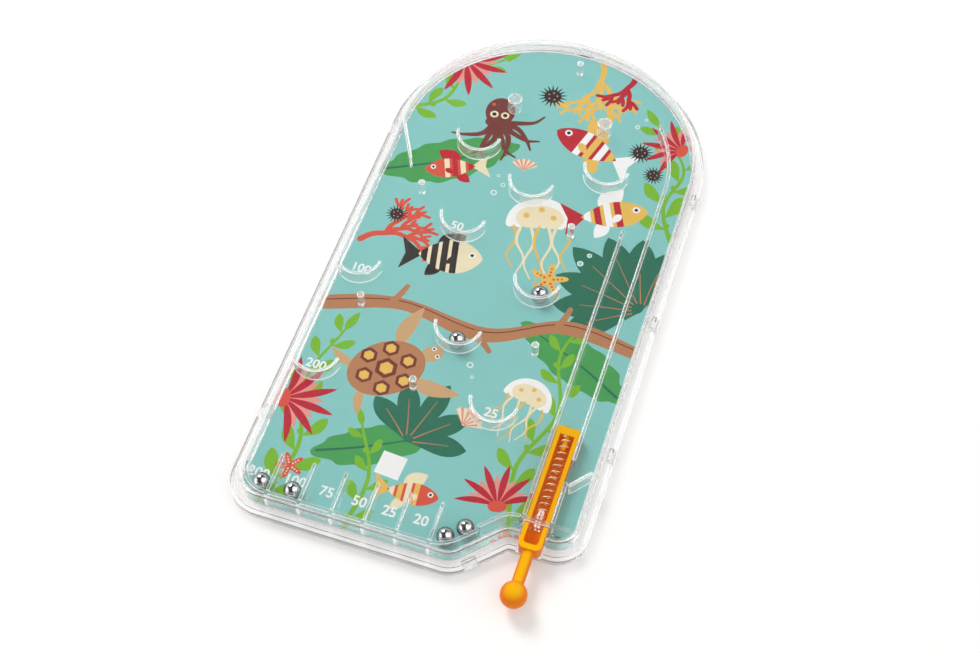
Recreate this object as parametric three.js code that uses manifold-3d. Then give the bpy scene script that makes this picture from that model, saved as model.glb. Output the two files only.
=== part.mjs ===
// Tabletop pinball game: a clear snap-together case over a printed card, with a sprung plunger
// and six steel balls.
// Millimetres, +Z up. The origin is on the table, under the middle of the case. +X is to the right,
// +Y is towards the round top of the game, where a shot ball arrives.

import * as THREE from 'three';
import { mergeVertices } from 'three/addons/utils/BufferGeometryUtils.js';
import Module from 'manifold-3d';

const wasm = await Module();
wasm.setup();

// Printed card
const cardWidth = 150;
const cardLength = 297.4;
const cardThickness = 1.5;
const archHeight = 71;
const footCornerRadius = 11.5;
const heelCornerRadius = 8;
const notchRise = 19.7;
const notchAngle = 45;
const notchOuterRadius = 8;
const notchInnerRadius = 9;

// Case: heights and thicknesses
const floorThickness = 2;
const flangeThickness = 1.6;
const coverThickness = 1.6;
const ballHeadroom = 0.8;

// Case: distances outwards from the card's edge
const cardPlay = 0.2;
const domeWall = 1.5;
const flangeReach = 5;
const flangePlay = 0.2;
const rimWidth = 1.8;
const domeEdgeRadius = 2;
const rimEdgeRadius = 0.5;

// Snap clips between the cover and the tray
const clipLength = 6;
const clipThickness = 1.2;
const clipInset = 0.4;
const clipPlay = 0.3;
const hookReach = 0.7;
const hookThickness = 0.7;
const hookPocketHeight = 1.3;
const rightClipShares = [0.504, -0.013, -0.518];
const leftClipShares = [0.491, -0.706];
const notchClipDistance = 7;

// Clearances shared by the pieces
const seatGap = 0.3;
const overrun = 3;

// Playfield features, which hang from the cover and stop just above the card
const wallThickness = 1.6;
const railThickness = 1.8;
const pinDiameter = 3.6;
const postDiameter = 7.5;
const postWall = 1.3;
const cupRadius = 12;
const cupWall = 1.6;
const cupHalfAngle = 82;
const cornerSlotWidth = 14.8;
const dividerCount = 6;
const dividerLength = 19;
const bowlRadius = 18;
const bowlWallGap = 2.8;
const bowlSlantLength = 8.8;
const lastDividerFromBowl = 1.14;
const bottomGap = 2.2;
const bottomCornerRadius = 11.2;
const rampStepX = 0.2;
const rampStepY = 2.35;
const rampRadius = 10.9;
const deflectorTopShare = 0.48;
const deflectorRun = 11;
const deflectorDrop = 21.2;

// Centres of cups, pins and posts, as shares of the card's half width and half length
const cupShares = [
  [-0.464, 0.513], [-0.007, 0.38], [0.443, 0.509], [-0.347, 0.167], [0.271, -0.002],
  [-0.101, -0.248], [0.285, -0.477],
];
const wallCupShares = [[-0.887, -0.095], [-0.884, -0.482]];
const pinShares = [
  [0.015, 0.921], [-0.697, 0.246], [0.357, 0.231], [-0.769, -0.243], [0.404, -0.246], [-0.243, -0.486],
];
const postShares = [[-0.324, 0.693], [0.327, 0.686]];

// Shooting lane, return lane and the gate between them
const returnLane = 10.2;
const shootingLane = 13.1;
const leftRailTopShare = 0.262;
const curveStartShare = 0.471;
const curveRadius = 65.7;
const curveEndAngle = 35.8;
const gateDrop = 15.4;
const gateHeight = 13;
const feedBarRise = 8.4;
const feedBarPlay = 0.9;
const endWallInset = 4.7;
const endWallThickness = 2.2;
const bridgeThickness = 1.4;
const portalPlay = 0.5;

// Plunger: one moulding with an open frame, a stop block, a rod and a knob
const plungerPlay = 0.35;
const frameLength = 51.1;
const crossbarLength = 4;
const frameFloor = 1;
const blockTopGap = 0.4;
const blockLength = 12;
const blockFront = 2.6;
const blockCorner = 3;
const recessCorner = 1.6;
const rodDiameter = 5.7;
const rodLength = 20.7;
const knobDiameter = 12.2;
const mouthPlay = 0.7;
const footingFromInstep = 12.15;

// Return spring between the frame's crossbar and the seat on the end wall
const springDiameter = 5.6;
const wireDiameter = 0.7;
const springCurls = 14;
const springPlay = 0.6;
const springPinPlay = 0.7;
const guideLength = 7.5;
const seatPinLength = 6;

// Steel balls and where they lie
const ballDiameter = 8;
const ballLift = 0.05;
const cupBalls = [{ cup: 4, turn: -64 }, { cup: 5, turn: -79 }];
const cornerBallPlay = 0.76;
const slotBallPlayShare = 0.8;
const lowBallPlay = 1.5;
const bowlBallPlay = 0.46;
const bowlWallPlay = 0.4;
const bowlBallRun = 5.66;

// Mesh fineness
const archSteps = 40;
const cornerSteps = 6;
const edgeSteps = 3;
const pinSides = 12;
const postSides = 24;
const rodSides = 20;
const knobSides = 24;
const knobRings = 16;
const ballDetail = 3;
const curlSteps = 8;
const wireSides = 5;
const weldDistance = 1e-4;

// Heights
const cavityHeight = ballDiameter + ballHeadroom;
const seatZ = floorThickness + cardThickness;
const ceilingZ = seatZ + cavityHeight;
const topZ = ceilingZ + coverThickness;
const rimTopZ = seatZ + flangeThickness;
const featureFootZ = seatZ + seatGap;
const bridgeZ = ceilingZ - bridgeThickness;
const hookTopZ = hookPocketHeight - clipPlay;
const hookFootZ = hookTopZ - hookThickness;
const ballZ = seatZ + ballLift + ballDiameter / 2;

// Card and case
const halfCard = cardWidth / 2;
const halfLength = cardLength / 2;
const cardFootY = -halfLength;
const cardHeelY = cardFootY + notchRise;
const archY = halfLength - archHeight;
const domeReach = cardPlay + domeWall;
const rimReach = flangeReach + flangePlay + rimWidth;
const fieldWallX = halfCard + cardPlay - seatGap;
const tabOuter = flangeReach - clipInset;
const tabInner = tabOuter - clipThickness;

// Lanes
const rightRailX = halfCard - returnLane;
const leftRailX = rightRailX - shootingLane;
const laneX = (leftRailX + rightRailX) / 2;
const endWallFaceY = cardHeelY + endWallInset;
const endWallBackY = endWallFaceY + endWallThickness;
const plungerTop = endWallFaceY + frameLength;
const gateTop = plungerTop - gateDrop;

// Notch in front of the plunger's heel, and the bowl that lies along its slant
const notchSlant = THREE.MathUtils.degToRad(notchAngle);
const instepX = laneX - footingFromInstep;
const notchX = instepX - notchRise / Math.tan(notchSlant);
const bottomWallY = cardFootY + bottomGap;
const bowlY = bottomWallY + bowlRadius;
const bowlReach = bowlRadius + wallThickness + bowlWallGap;
const bowlX = notchX + ((bowlY - cardFootY) * Math.cos(notchSlant) - bowlReach) / Math.sin(notchSlant);
const cornerX = bottomCornerRadius + wallThickness - fieldWallX;
const cornerY = bottomWallY + bottomCornerRadius;
const firstDividerX = cornerSlotWidth - halfCard;
const lastDividerX = bowlX + lastDividerFromBowl;
const slotPitch = (lastDividerX - firstDividerX) / (dividerCount - 1);

// Plunger and spring
const plungerWidth = shootingLane - railThickness - plungerPlay * 2;
const frameRail = (plungerWidth - springDiameter) / 2 - springPlay;
const frameHeight = cavityHeight - bridgeThickness - seatGap * 2;
const blockHeight = cavityHeight - seatGap - blockTopGap;
const plungerFootZ = seatZ + seatGap;
const springZ = plungerFootZ + frameFloor + seatGap + springDiameter / 2;
const rodZ = plungerFootZ + blockHeight / 2;
const blockBackY = endWallFaceY - seatGap;
const blockFrontY = blockBackY - blockLength;
const knobY = blockFrontY - rodLength;
const crossbarY = plungerTop - crossbarLength;
const springPinDiameter = springDiameter - (wireDiameter + springPinPlay) * 2;

// Closed solids and booleans
function weld(geometry) {
  geometry.deleteAttribute('normal');
  geometry.deleteAttribute('uv');
  return mergeVertices(geometry, weldDistance);
}

function solid(geometry) {
  const welded = weld(geometry);
  const mesh = new wasm.Mesh({
    numProp: 3,
    vertProperties: new Float32Array(welded.attributes.position.array),
    triVerts: new Uint32Array(welded.index.array),
  });
  return new wasm.Manifold(mesh);
}

function surface(manifold) {
  const mesh = manifold.getMesh();
  const geometry = new THREE.BufferGeometry();
  geometry.setAttribute('position', new THREE.BufferAttribute(mesh.vertProperties, 3));
  geometry.setIndex(new THREE.BufferAttribute(mesh.triVerts, 1));
  geometry.computeVertexNormals();
  return geometry;
}

function box(x, y, z) {
  const geometry = new THREE.BoxGeometry(x[1] - x[0], y[1] - y[0], z[1] - z[0]);
  geometry.translate((x[0] + x[1]) / 2, (y[0] + y[1]) / 2, (z[0] + z[1]) / 2);
  return geometry;
}

function prism(points, zLow, zHigh, holes = []) {
  const shape = new THREE.Shape(points);
  shape.holes = holes.map((hole) => new THREE.Path(hole));
  const geometry = new THREE.ExtrudeGeometry(shape, { depth: zHigh - zLow, bevelEnabled: false });
  geometry.translate(0, 0, zLow);
  return geometry;
}

function rodAlongY(radius, x, z, yLow, yHigh, sides = pinSides) {
  const geometry = new THREE.CylinderGeometry(radius, radius, yHigh - yLow, sides);
  geometry.translate(x, (yLow + yHigh) / 2, z);
  return geometry;
}

// Plan outlines
function arc(x, y, radius, fromAngle, toAngle, steps) {
  const points = [];
  for (let i = 0; i <= steps; i += 1) {
    const angle = THREE.MathUtils.degToRad(THREE.MathUtils.lerp(fromAngle, toAngle, i / steps));
    points.push(new THREE.Vector2(x + radius * Math.cos(angle), y + radius * Math.sin(angle)));
  }
  return points;
}

function circle(x, y, radius, sides) {
  return arc(x, y, radius, 0, 360, sides).slice(1);
}

function fillet(before, corner, after, radius) {
  const inward = before.clone().sub(corner).normalize();
  const outward = after.clone().sub(corner).normalize();
  const halfAngle = Math.acos(inward.dot(outward)) / 2;
  const middle = inward.clone().add(outward).normalize();
  const centre = corner.clone().addScaledVector(middle, radius / Math.sin(halfAngle));
  const reach = radius / Math.tan(halfAngle);
  const start = corner.clone().addScaledVector(inward, reach).sub(centre);
  const end = corner.clone().addScaledVector(outward, reach).sub(centre);
  const turn = Math.atan2(start.cross(end), start.dot(end));
  const points = [];
  for (let i = 0; i <= cornerSteps; i += 1) {
    points.push(start.clone().rotateAround(new THREE.Vector2(), turn * i / cornerSteps).add(centre));
  }
  return points;
}

// The card's outline grown outwards: arch, left side, foot, slanted notch, heel beside the plunger
function caseOutline(grow) {
  const side = halfCard + grow;
  const footY = cardFootY - grow;
  const heelY = cardHeelY - grow;
  const slantShift = grow * Math.tan(notchSlant / 2);
  const points = [];
  for (let i = 0; i <= archSteps; i += 1) {
    const angle = Math.PI * i / archSteps;
    points.push(new THREE.Vector2(side * Math.cos(angle), archY + (archHeight + grow) * Math.sin(angle)));
  }
  const left = new THREE.Vector2(-side, footY);
  const toe = new THREE.Vector2(notchX + slantShift, footY);
  const instep = new THREE.Vector2(instepX + slantShift, heelY);
  const heel = new THREE.Vector2(side, heelY);
  const last = points[points.length - 1];
  points.push(...fillet(last, left, toe, footCornerRadius + grow));
  points.push(...fillet(left, toe, instep, notchOuterRadius + grow));
  points.push(...fillet(toe, instep, heel, notchInnerRadius - grow));
  points.push(...fillet(instep, heel, points[0], heelCornerRadius + grow));
  return points;
}

// A solid through the same outline at several heights; each level is [grow, z]
function loft(levels) {
  const rings = levels.map(([grow]) => caseOutline(grow));
  const count = rings[0].length;
  const positions = rings.flatMap((ring, level) => ring.flatMap((p) => [p.x, p.y, levels[level][1]]));
  const indices = [];
  for (let level = 0; level + 1 < rings.length; level += 1) {
    for (let i = 0; i < count; i += 1) {
      const a = level * count + i;
      const b = level * count + (i + 1) % count;
      indices.push(a, b, b + count, a, b + count, a + count);
    }
  }
  const top = (rings.length - 1) * count;
  for (const [a, b, c] of THREE.ShapeUtils.triangulateShape(rings[0], [])) {
    indices.push(c, b, a);
    indices.push(top + a, top + b, top + c);
  }
  const geometry = new THREE.BufferGeometry();
  geometry.setAttribute('position', new THREE.Float32BufferAttribute(positions, 3));
  geometry.setIndex(indices);
  return geometry;
}

// Plan of an upright wall that follows a path, with round or square ends
function wallPlan(path, thickness, roundStart = true, roundEnd = true) {
  const half = thickness / 2;
  const sides = [[], []];
  path.forEach((p, i) => {
    const back = path[Math.max(i - 1, 0)];
    const ahead = path[Math.min(i + 1, path.length - 1)];
    const before = p.clone().sub(back).normalize();
    const after = ahead.clone().sub(p).normalize();
    const along = before.clone().add(after).normalize();
    const mitre = i > 0 && i + 1 < path.length ? 1 / along.dot(after) : 1;
    const normal = new THREE.Vector2(-along.y, along.x);
    sides[0].push(p.clone().addScaledVector(normal, -half * mitre));
    sides[1].push(p.clone().addScaledVector(normal, half * mitre));
  });
  const cap = (centre, from) => {
    const start = from.clone().sub(centre);
    const points = [];
    for (let i = 1; i < cornerSteps; i += 1) {
      points.push(start.clone().rotateAround(new THREE.Vector2(), Math.PI * i / cornerSteps).add(centre));
    }
    return points;
  };
  const right = sides[0];
  const left = sides[1].reverse();
  const endCap = roundEnd ? cap(path[path.length - 1], right[right.length - 1]) : [];
  const startCap = roundStart ? cap(path[0], left[left.length - 1]) : [];
  return [...right, ...endCap, ...left, ...startCap];
}

function hangingWall(path, thickness, roundStart, roundEnd) {
  return prism(wallPlan(path, thickness, roundStart, roundEnd), featureFootZ, ceilingZ);
}

// Trims a feature to the space inside the cover's wall
function insideCover(geometry) {
  const grow = cardPlay - seatGap;
  const space = solid(loft([[grow, featureFootZ - overrun], [grow, ceilingZ + overrun]]));
  return surface(solid(geometry).intersect(space));
}

const at = (x, y) => new THREE.Vector2(x, y);

const spot = ([xShare, yShare]) => [halfCard * xShare, halfLength * yShare];

// Where each clip sits: a point on the card's edge and the outward direction in degrees
function clipPlaces() {
  const places = rightClipShares.map((share) => ({ x: halfCard, y: halfLength * share, outward: 0 }));
  places.push(...leftClipShares.map((share) => ({ x: -halfCard, y: halfLength * share, outward: 180 })));
  places.push({ x: 0, y: halfLength, outward: 90 });
  const x = notchX + notchClipDistance * Math.cos(notchSlant);
  const y = cardFootY + notchClipDistance * Math.sin(notchSlant);
  places.push({ x, y, outward: notchAngle - 90 });
  return places;
}

// A block set out from the card's edge at a clip: reach outwards, length along the edge, heights
function clipBlock(place, reach, length, z) {
  const geometry = box(reach, [-length / 2, length / 2], z);
  geometry.rotateZ(THREE.MathUtils.degToRad(place.outward));
  geometry.translate(place.x, place.y, 0);
  return geometry;
}

// Base tray: floor, card recess, raised rim round the cover's flange, slots and pockets for the clips
function baseTray() {
  let tray = solid(loft([
    [rimReach - rimEdgeRadius, 0],
    [rimReach, rimEdgeRadius],
    [rimReach, rimTopZ - rimEdgeRadius],
    [rimReach - rimEdgeRadius, rimTopZ],
  ]));
  const seatReach = flangeReach + flangePlay;
  tray = tray.subtract(solid(loft([[seatReach, seatZ], [seatReach, rimTopZ + overrun]])));
  tray = tray.subtract(solid(loft([[cardPlay, floorThickness], [cardPlay, seatZ + overrun]])));
  const slotReach = [tabInner - clipPlay, tabOuter + clipPlay];
  for (const place of clipPlaces()) {
    const slotLength = clipLength + clipPlay * 2;
    tray = tray.subtract(solid(clipBlock(place, slotReach, slotLength, [-overrun, seatZ + overrun])));
    const pocketReach = [tabInner - clipPlay, tabOuter + hookReach + clipPlay];
    tray = tray.subtract(solid(clipBlock(place, pocketReach, slotLength, [-overrun, hookPocketHeight])));
  }
  const mouthHalf = plungerWidth / 2 + mouthPlay;
  const mouthX = [laneX - mouthHalf, laneX + mouthHalf];
  const mouthY = [cardHeelY - rimReach - overrun, cardHeelY];
  tray = tray.subtract(solid(box(mouthX, mouthY, [seatZ, rimTopZ + overrun])));
  return surface(tray);
}

function printedCard() {
  return loft([[0, floorThickness], [0, seatZ]]);
}

// Top cover: dome with a rounded edge, flange and clip tabs; the plunger's mouth is open at the top as far as
// the end wall
function topCover() {
  const levels = [[domeReach, seatZ]];
  for (let i = 0; i <= edgeSteps; i += 1) {
    const angle = Math.PI / 2 * i / edgeSteps;
    const inset = domeEdgeRadius * (1 - Math.cos(angle));
    levels.push([domeReach - inset, topZ - domeEdgeRadius * (1 - Math.sin(angle))]);
  }
  let cover = solid(loft(levels));
  cover = cover.add(solid(loft([[flangeReach, seatZ], [flangeReach, rimTopZ]])));
  cover = cover.subtract(solid(loft([[cardPlay, seatZ - overrun], [cardPlay, ceilingZ]])));
  for (const place of clipPlaces()) {
    const windowZ = [seatZ - overrun, rimTopZ + overrun];
    cover = cover.subtract(solid(clipBlock(place, [tabOuter, tabOuter + overrun], clipLength, windowZ)));
    cover = cover.add(solid(clipBlock(place, [tabInner, tabOuter], clipLength, [hookFootZ, rimTopZ])));
    const hook = clipBlock(place, [tabInner, tabOuter + hookReach], clipLength, [hookFootZ, hookTopZ]);
    cover = cover.add(solid(hook));
  }
  const mouthHalf = plungerWidth / 2 + mouthPlay;
  const mouthX = [laneX - mouthHalf, laneX + mouthHalf];
  const mouthY = [cardHeelY - rimReach, endWallFaceY];
  cover = cover.subtract(solid(box(mouthX, mouthY, [seatZ - overrun, topZ + overrun])));
  return surface(cover);
}

// Crescent cups that catch balls, open towards the top of the game
function cupPlan(x, y) {
  const lowest = -90;
  const middle = cupRadius - cupWall / 2;
  const path = arc(x, y, middle, lowest - cupHalfAngle, lowest + cupHalfAngle, archSteps / 2);
  return wallPlan(path, cupWall);
}

function cup([x, y]) {
  return prism(cupPlan(x, y), featureFootZ, ceilingZ);
}

function pin([x, y]) {
  return prism(circle(x, y, pinDiameter / 2, pinSides), featureFootZ, ceilingZ);
}

function ringPost([x, y]) {
  const outside = circle(x, y, postDiameter / 2, postSides);
  return prism(outside, featureFootZ, ceilingZ, [circle(x, y, postDiameter / 2 - postWall, postSides)]);
}

const dividerX = (index) => firstDividerX + slotPitch * index;

function slotDivider(index) {
  const x = dividerX(index);
  const low = bottomWallY + seatGap;
  const path = [at(x, low), at(x, low + dividerLength - wallThickness / 2)];
  return hangingWall(path, wallThickness, false, true);
}

// Middle line of the wall round the last, open slot: a bend, then the slant up to its lip
function bowlLine() {
  const bend = arc(bowlX, bowlY, bowlRadius + wallThickness / 2, -90, notchAngle - 90, cornerSteps);
  const run = at(Math.cos(notchSlant), Math.sin(notchSlant)).multiplyScalar(bowlSlantLength);
  return [...bend, bend.at(-1).clone().add(run)];
}

// Lower wall: corner at the left, straight under the slots, then up round the last, open slot.
// A short rib behind each divider reaches towards the case's wall.
function bottomWall() {
  const middle = wallThickness / 2;
  const path = [
    ...arc(cornerX, cornerY, bottomCornerRadius + middle, 180, 270, cornerSteps),
    ...bowlLine(),
  ];
  let wall = solid(hangingWall(path, wallThickness));
  const ribY = [cardFootY - cardPlay + seatGap, bottomWallY - middle];
  for (let i = 0; i < dividerCount; i += 1) {
    const x = dividerX(i);
    wall = wall.add(solid(box([x - middle, x + middle], ribY, [featureFootZ, ceilingZ])));
  }
  return surface(wall);
}

// Wall from the bowl's lip up the slant, with a bend into the foot of the shooting lane
function returnRamp() {
  const start = bowlLine().at(-1).add(at(rampStepX, rampStepY));
  const topY = endWallBackY - wallThickness / 2;
  const corner = at(start.x + (topY - start.y) / Math.tan(notchSlant), topY);
  const end = at(leftRailX - railThickness / 2 - seatGap - wallThickness / 2, topY);
  return hangingWall([start, ...fillet(start, corner, end, rampRadius), end], wallThickness);
}

function leftLaneRail() {
  const path = [at(leftRailX, endWallBackY + seatGap), at(leftRailX, halfLength * leftRailTopShare)];
  return hangingWall(path, railThickness, false, true);
}

function rightLaneRail() {
  const curveY = halfLength * curveStartShare;
  const curve = arc(rightRailX - curveRadius, curveY, curveRadius, 0, curveEndAngle, cornerSteps * 2);
  return hangingWall([at(rightRailX, gateTop), ...curve], railThickness);
}

function gateRail() {
  const path = [at(rightRailX, endWallBackY + seatGap), at(rightRailX, gateTop - gateHeight)];
  return hangingWall(path, railThickness, false, true);
}

// Slanted bar that turns a ball from the return lane through the gate
function feedBar() {
  const startX = rightRailX + railThickness / 2 + seatGap + feedBarPlay;
  const endX = fieldWallX - wallThickness / 2;
  const startY = gateTop - gateHeight;
  return hangingWall([at(startX, startY), at(endX, startY + feedBarRise)], wallThickness);
}

function deflectorBar() {
  const start = at(-fieldWallX + wallThickness / 2, halfLength * deflectorTopShare);
  return hangingWall([start, at(start.x + deflectorRun, start.y - deflectorDrop)], wallThickness);
}

// End wall: closes the lanes, lets the plunger's frame pass under a bridge, carries the spring's seat
function endWall() {
  const y = [endWallFaceY, endWallBackY];
  const portalHalf = plungerWidth / 2 + portalPlay;
  const leftX = leftRailX - railThickness / 2;
  let wall = solid(box([leftX, halfCard + overrun], y, [featureFootZ, ceilingZ]));
  const portalY = [endWallFaceY - overrun, endWallBackY + overrun];
  wall = wall.subtract(solid(box([laneX - portalHalf, laneX + portalHalf], portalY, [0, bridgeZ])));
  const seatFootZ = plungerFootZ + frameFloor + seatGap;
  const seatX = [laneX - springDiameter / 2, laneX + springDiameter / 2];
  wall = wall.add(solid(box(seatX, y, [seatFootZ, ceilingZ])));
  const pinEnd = endWallBackY + seatPinLength;
  wall = wall.add(solid(rodAlongY(springPinDiameter / 2, laneX, springZ, endWallFaceY, pinEnd)));
  return insideCover(surface(wall));
}

// A plan with square corners at the back and round ones at the front
function roundFronted([left, right], [frontY, backY], radius) {
  const corners = [at(left, backY), at(left, frontY), at(right, frontY), at(right, backY)];
  return [
    corners[0],
    ...fillet(corners[0], corners[1], corners[2], radius),
    ...fillet(corners[1], corners[2], corners[3], radius),
    corners[3],
  ];
}

// Plunger: frame round the spring, stop block with an open recess, rod and knob
function plunger() {
  const left = laneX - plungerWidth / 2;
  const right = laneX + plungerWidth / 2;
  const frontY = blockFrontY;
  const blockPlan = roundFronted([left, right], [frontY, blockBackY], blockCorner);
  const frameZ = [plungerFootZ, plungerFootZ + frameHeight];
  let body = solid(prism(blockPlan, plungerFootZ, plungerFootZ + blockHeight));
  body = body.add(solid(box([left, right], [blockBackY, plungerTop], frameZ)));
  const recessX = [left + frameRail, right - frameRail];
  const recess = roundFronted(recessX, [frontY + blockFront, crossbarY], recessCorner);
  const recessTopZ = plungerFootZ + blockHeight + overrun;
  body = body.subtract(solid(prism(recess, plungerFootZ + frameFloor, recessTopZ)));
  const guideRoot = plungerTop - crossbarLength / 2;
  const guideEnd = crossbarY - guideLength;
  body = body.add(solid(rodAlongY(springPinDiameter / 2, laneX, springZ, guideEnd, guideRoot)));
  body = body.add(solid(rodAlongY(rodDiameter / 2, laneX, rodZ, knobY, frontY + blockFront / 2, rodSides)));
  const knob = new THREE.SphereGeometry(knobDiameter / 2, knobSides, knobRings);
  knob.translate(laneX, knobY, rodZ);
  body = body.add(solid(knob));
  return surface(body);
}

// Wire of round section along a path of points, closed at both ends
function wire(path, radius, sides) {
  const tangents = path.map((p, i) => {
    const back = path[Math.max(i - 1, 0)];
    const ahead = path[Math.min(i + 1, path.length - 1)];
    return ahead.clone().sub(back).normalize();
  });
  const normal = new THREE.Vector3(0, 0, 1);
  const positions = [];
  const indices = [];
  path.forEach((p, i) => {
    normal.addScaledVector(tangents[i], -normal.dot(tangents[i])).normalize();
    const side = tangents[i].clone().cross(normal);
    for (let k = 0; k < sides; k += 1) {
      const angle = Math.PI * 2 * k / sides;
      const point = p.clone().addScaledVector(normal, radius * Math.cos(angle));
      point.addScaledVector(side, radius * Math.sin(angle));
      positions.push(point.x, point.y, point.z);
    }
  });
  for (let i = 0; i + 1 < path.length; i += 1) {
    for (let k = 0; k < sides; k += 1) {
      const a = i * sides + k;
      const b = i * sides + (k + 1) % sides;
      indices.push(a, b, b + sides, a, b + sides, a + sides);
    }
  }
  const last = (path.length - 1) * sides;
  for (let k = 1; k + 1 < sides; k += 1) {
    indices.push(0, k + 1, k);
    indices.push(last, last + k, last + k + 1);
  }
  const geometry = new THREE.BufferGeometry();
  geometry.setAttribute('position', new THREE.Float32BufferAttribute(positions, 3));
  geometry.setIndex(indices);
  return geometry;
}

// Spring path: a straight end, the curls, a straight end
function springPath() {
  const lowY = endWallBackY + seatGap;
  const highY = crossbarY - seatGap;
  const coilRadius = (springDiameter - wireDiameter) / 2;
  const coilLow = lowY + wireDiameter;
  const coilHigh = highY - wireDiameter;
  const steps = springCurls * curlSteps;
  const path = [new THREE.Vector3(laneX, lowY, springZ + coilRadius)];
  for (let i = 0; i <= steps; i += 1) {
    const angle = Math.PI * 2 * i / curlSteps;
    const y = THREE.MathUtils.lerp(coilLow, coilHigh, i / steps);
    const x = laneX + coilRadius * Math.sin(angle);
    path.push(new THREE.Vector3(x, y, springZ + coilRadius * Math.cos(angle)));
  }
  path.push(new THREE.Vector3(laneX, highY, springZ + coilRadius));
  return path;
}

function leastSelfGap(path) {
  let least = Infinity;
  for (let i = 0; i < path.length; i += 1) {
    for (let k = i + curlSteps / 2; k < path.length; k += 1) {
      least = Math.min(least, path[i].distanceTo(path[k]) - wireDiameter);
    }
  }
  return least;
}

// Place of a ball at a given x, or towards a given angle, lying against a round wall below it
function ballAtX(x, roundX, roundY, radius) {
  const reach = radius - ballDiameter / 2;
  return [x, roundY - Math.sqrt(reach ** 2 - (x - roundX) ** 2)];
}

function ballAtTurn(turn, roundX, roundY, radius) {
  const reach = radius - ballDiameter / 2;
  return [roundX + reach * Math.cos(turn), roundY + reach * Math.sin(turn)];
}

// Steel balls: two in cups, two in slots, two in the open last slot
function ballPlaces() {
  const radius = ballDiameter / 2;
  const places = cupBalls.map(({ cup, turn }) => {
    const [x, y] = spot(cupShares[cup]);
    return ballAtTurn(THREE.MathUtils.degToRad(turn), x, y, cupRadius - cupWall - seatGap);
  });
  const cornerBallX = firstDividerX - wallThickness / 2 - cornerBallPlay - radius;
  places.push(ballAtX(cornerBallX, cornerX, cornerY, bottomCornerRadius - seatGap));
  const slotPlay = slotPitch - wallThickness - ballDiameter;
  const slotBallX = firstDividerX + wallThickness / 2 + radius + slotPlay * slotBallPlayShare;
  places.push([slotBallX, bottomWallY + lowBallPlay + radius]);
  const bowlBallX = lastDividerX + wallThickness / 2 + bowlBallPlay + radius;
  places.push(ballAtX(bowlBallX, bowlX, bowlY, bowlRadius - bowlWallPlay));
  const slant = at(Math.cos(notchSlant), Math.sin(notchSlant));
  const [x, y] = ballAtTurn(notchSlant - Math.PI / 2, bowlX, bowlY, bowlRadius - bowlWallPlay);
  places.push([x + slant.x * bowlBallRun, y + slant.y * bowlBallRun]);
  return places;
}

function ball([x, y]) {
  const geometry = new THREE.IcosahedronGeometry(ballDiameter / 2, ballDetail);
  geometry.translate(x, y, ballZ);
  return weld(geometry);
}

// Materials
const plastic = (color, opacity, roughness) => new THREE.MeshStandardMaterial({
  color, roughness, metalness: 0, transparent: opacity < 1, opacity,
});
const coverPlastic = plastic(0xf2f7f7, 0.3, 0.08);
const trayPlastic = plastic(0xeef2f2, 0.4, 0.12);
const featurePlastic = plastic(0xeaf5f5, 0.45, 0.08);
const cardPrint = plastic(0x82beb9, 1, 0.7);
const plungerPlastic = plastic(0xf5b414, 1, 0.35);
const springWire = new THREE.MeshStandardMaterial({ color: 0xb8b4ac, roughness: 0.3, metalness: 1 });
const ballSteel = new THREE.MeshStandardMaterial({ color: 0xc9cacc, roughness: 0.12, metalness: 1 });

// Assembly
const game = new THREE.Group();

function place(name, geometry, material) {
  const mesh = new THREE.Mesh(geometry, material);
  mesh.name = name;
  game.add(mesh);
}

place('base_tray', baseTray(), trayPlastic);
place('printed_card', printedCard(), cardPrint);
place('top_cover', topCover(), coverPlastic);
cupShares.forEach((share, i) => place(`cup_${i + 1}`, cup(spot(share)), featurePlastic));
wallCupShares.forEach((share, i) => {
  place(`wall_cup_${i + 1}`, insideCover(cup(spot(share))), featurePlastic);
});
pinShares.forEach((share, i) => place(`pin_${i + 1}`, pin(spot(share)), featurePlastic));
postShares.forEach((share, i) => place(`ring_post_${i + 1}`, ringPost(spot(share)), featurePlastic));
for (let i = 0; i < dividerCount; i += 1) place(`slot_divider_${i + 1}`, slotDivider(i), featurePlastic);
place('bottom_wall', bottomWall(), featurePlastic);
place('return_ramp', returnRamp(), featurePlastic);
place('lane_rail_left', leftLaneRail(), featurePlastic);
place('lane_rail_right', rightLaneRail(), featurePlastic);
place('gate_rail', gateRail(), featurePlastic);
place('feed_bar', feedBar(), featurePlastic);
place('deflector_bar', deflectorBar(), featurePlastic);
place('end_wall', endWall(), featurePlastic);
place('plunger', plunger(), plungerPlastic);
const springPoints = springPath();
console.log(`spring: least gap to itself ${leastSelfGap(springPoints).toFixed(2)} mm`);
place('plunger_spring', wire(springPoints, wireDiameter / 2, wireSides), springWire);
ballPlaces().forEach((centre, i) => place(`steel_ball_${i + 1}`, ball(centre), ballSteel));

export default game;
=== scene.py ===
"""Looks of a tabletop pinball game: a clear case over a printed card, a sprung plunger, six balls.

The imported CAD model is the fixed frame. Every shape here takes its place from that frame. Sizes are
in millimetres and are scaled to metres where a mesh is made. Plans are arrays of complex numbers,
x + iy, seen from above.
"""

import logging
import math
from collections.abc import Sequence
from dataclasses import dataclass, field
from enum import Enum

import bmesh
import bpy
import numpy as np
from mathutils import Matrix, Vector
from mathutils.geometry import delaunay_2d_cdt


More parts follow.
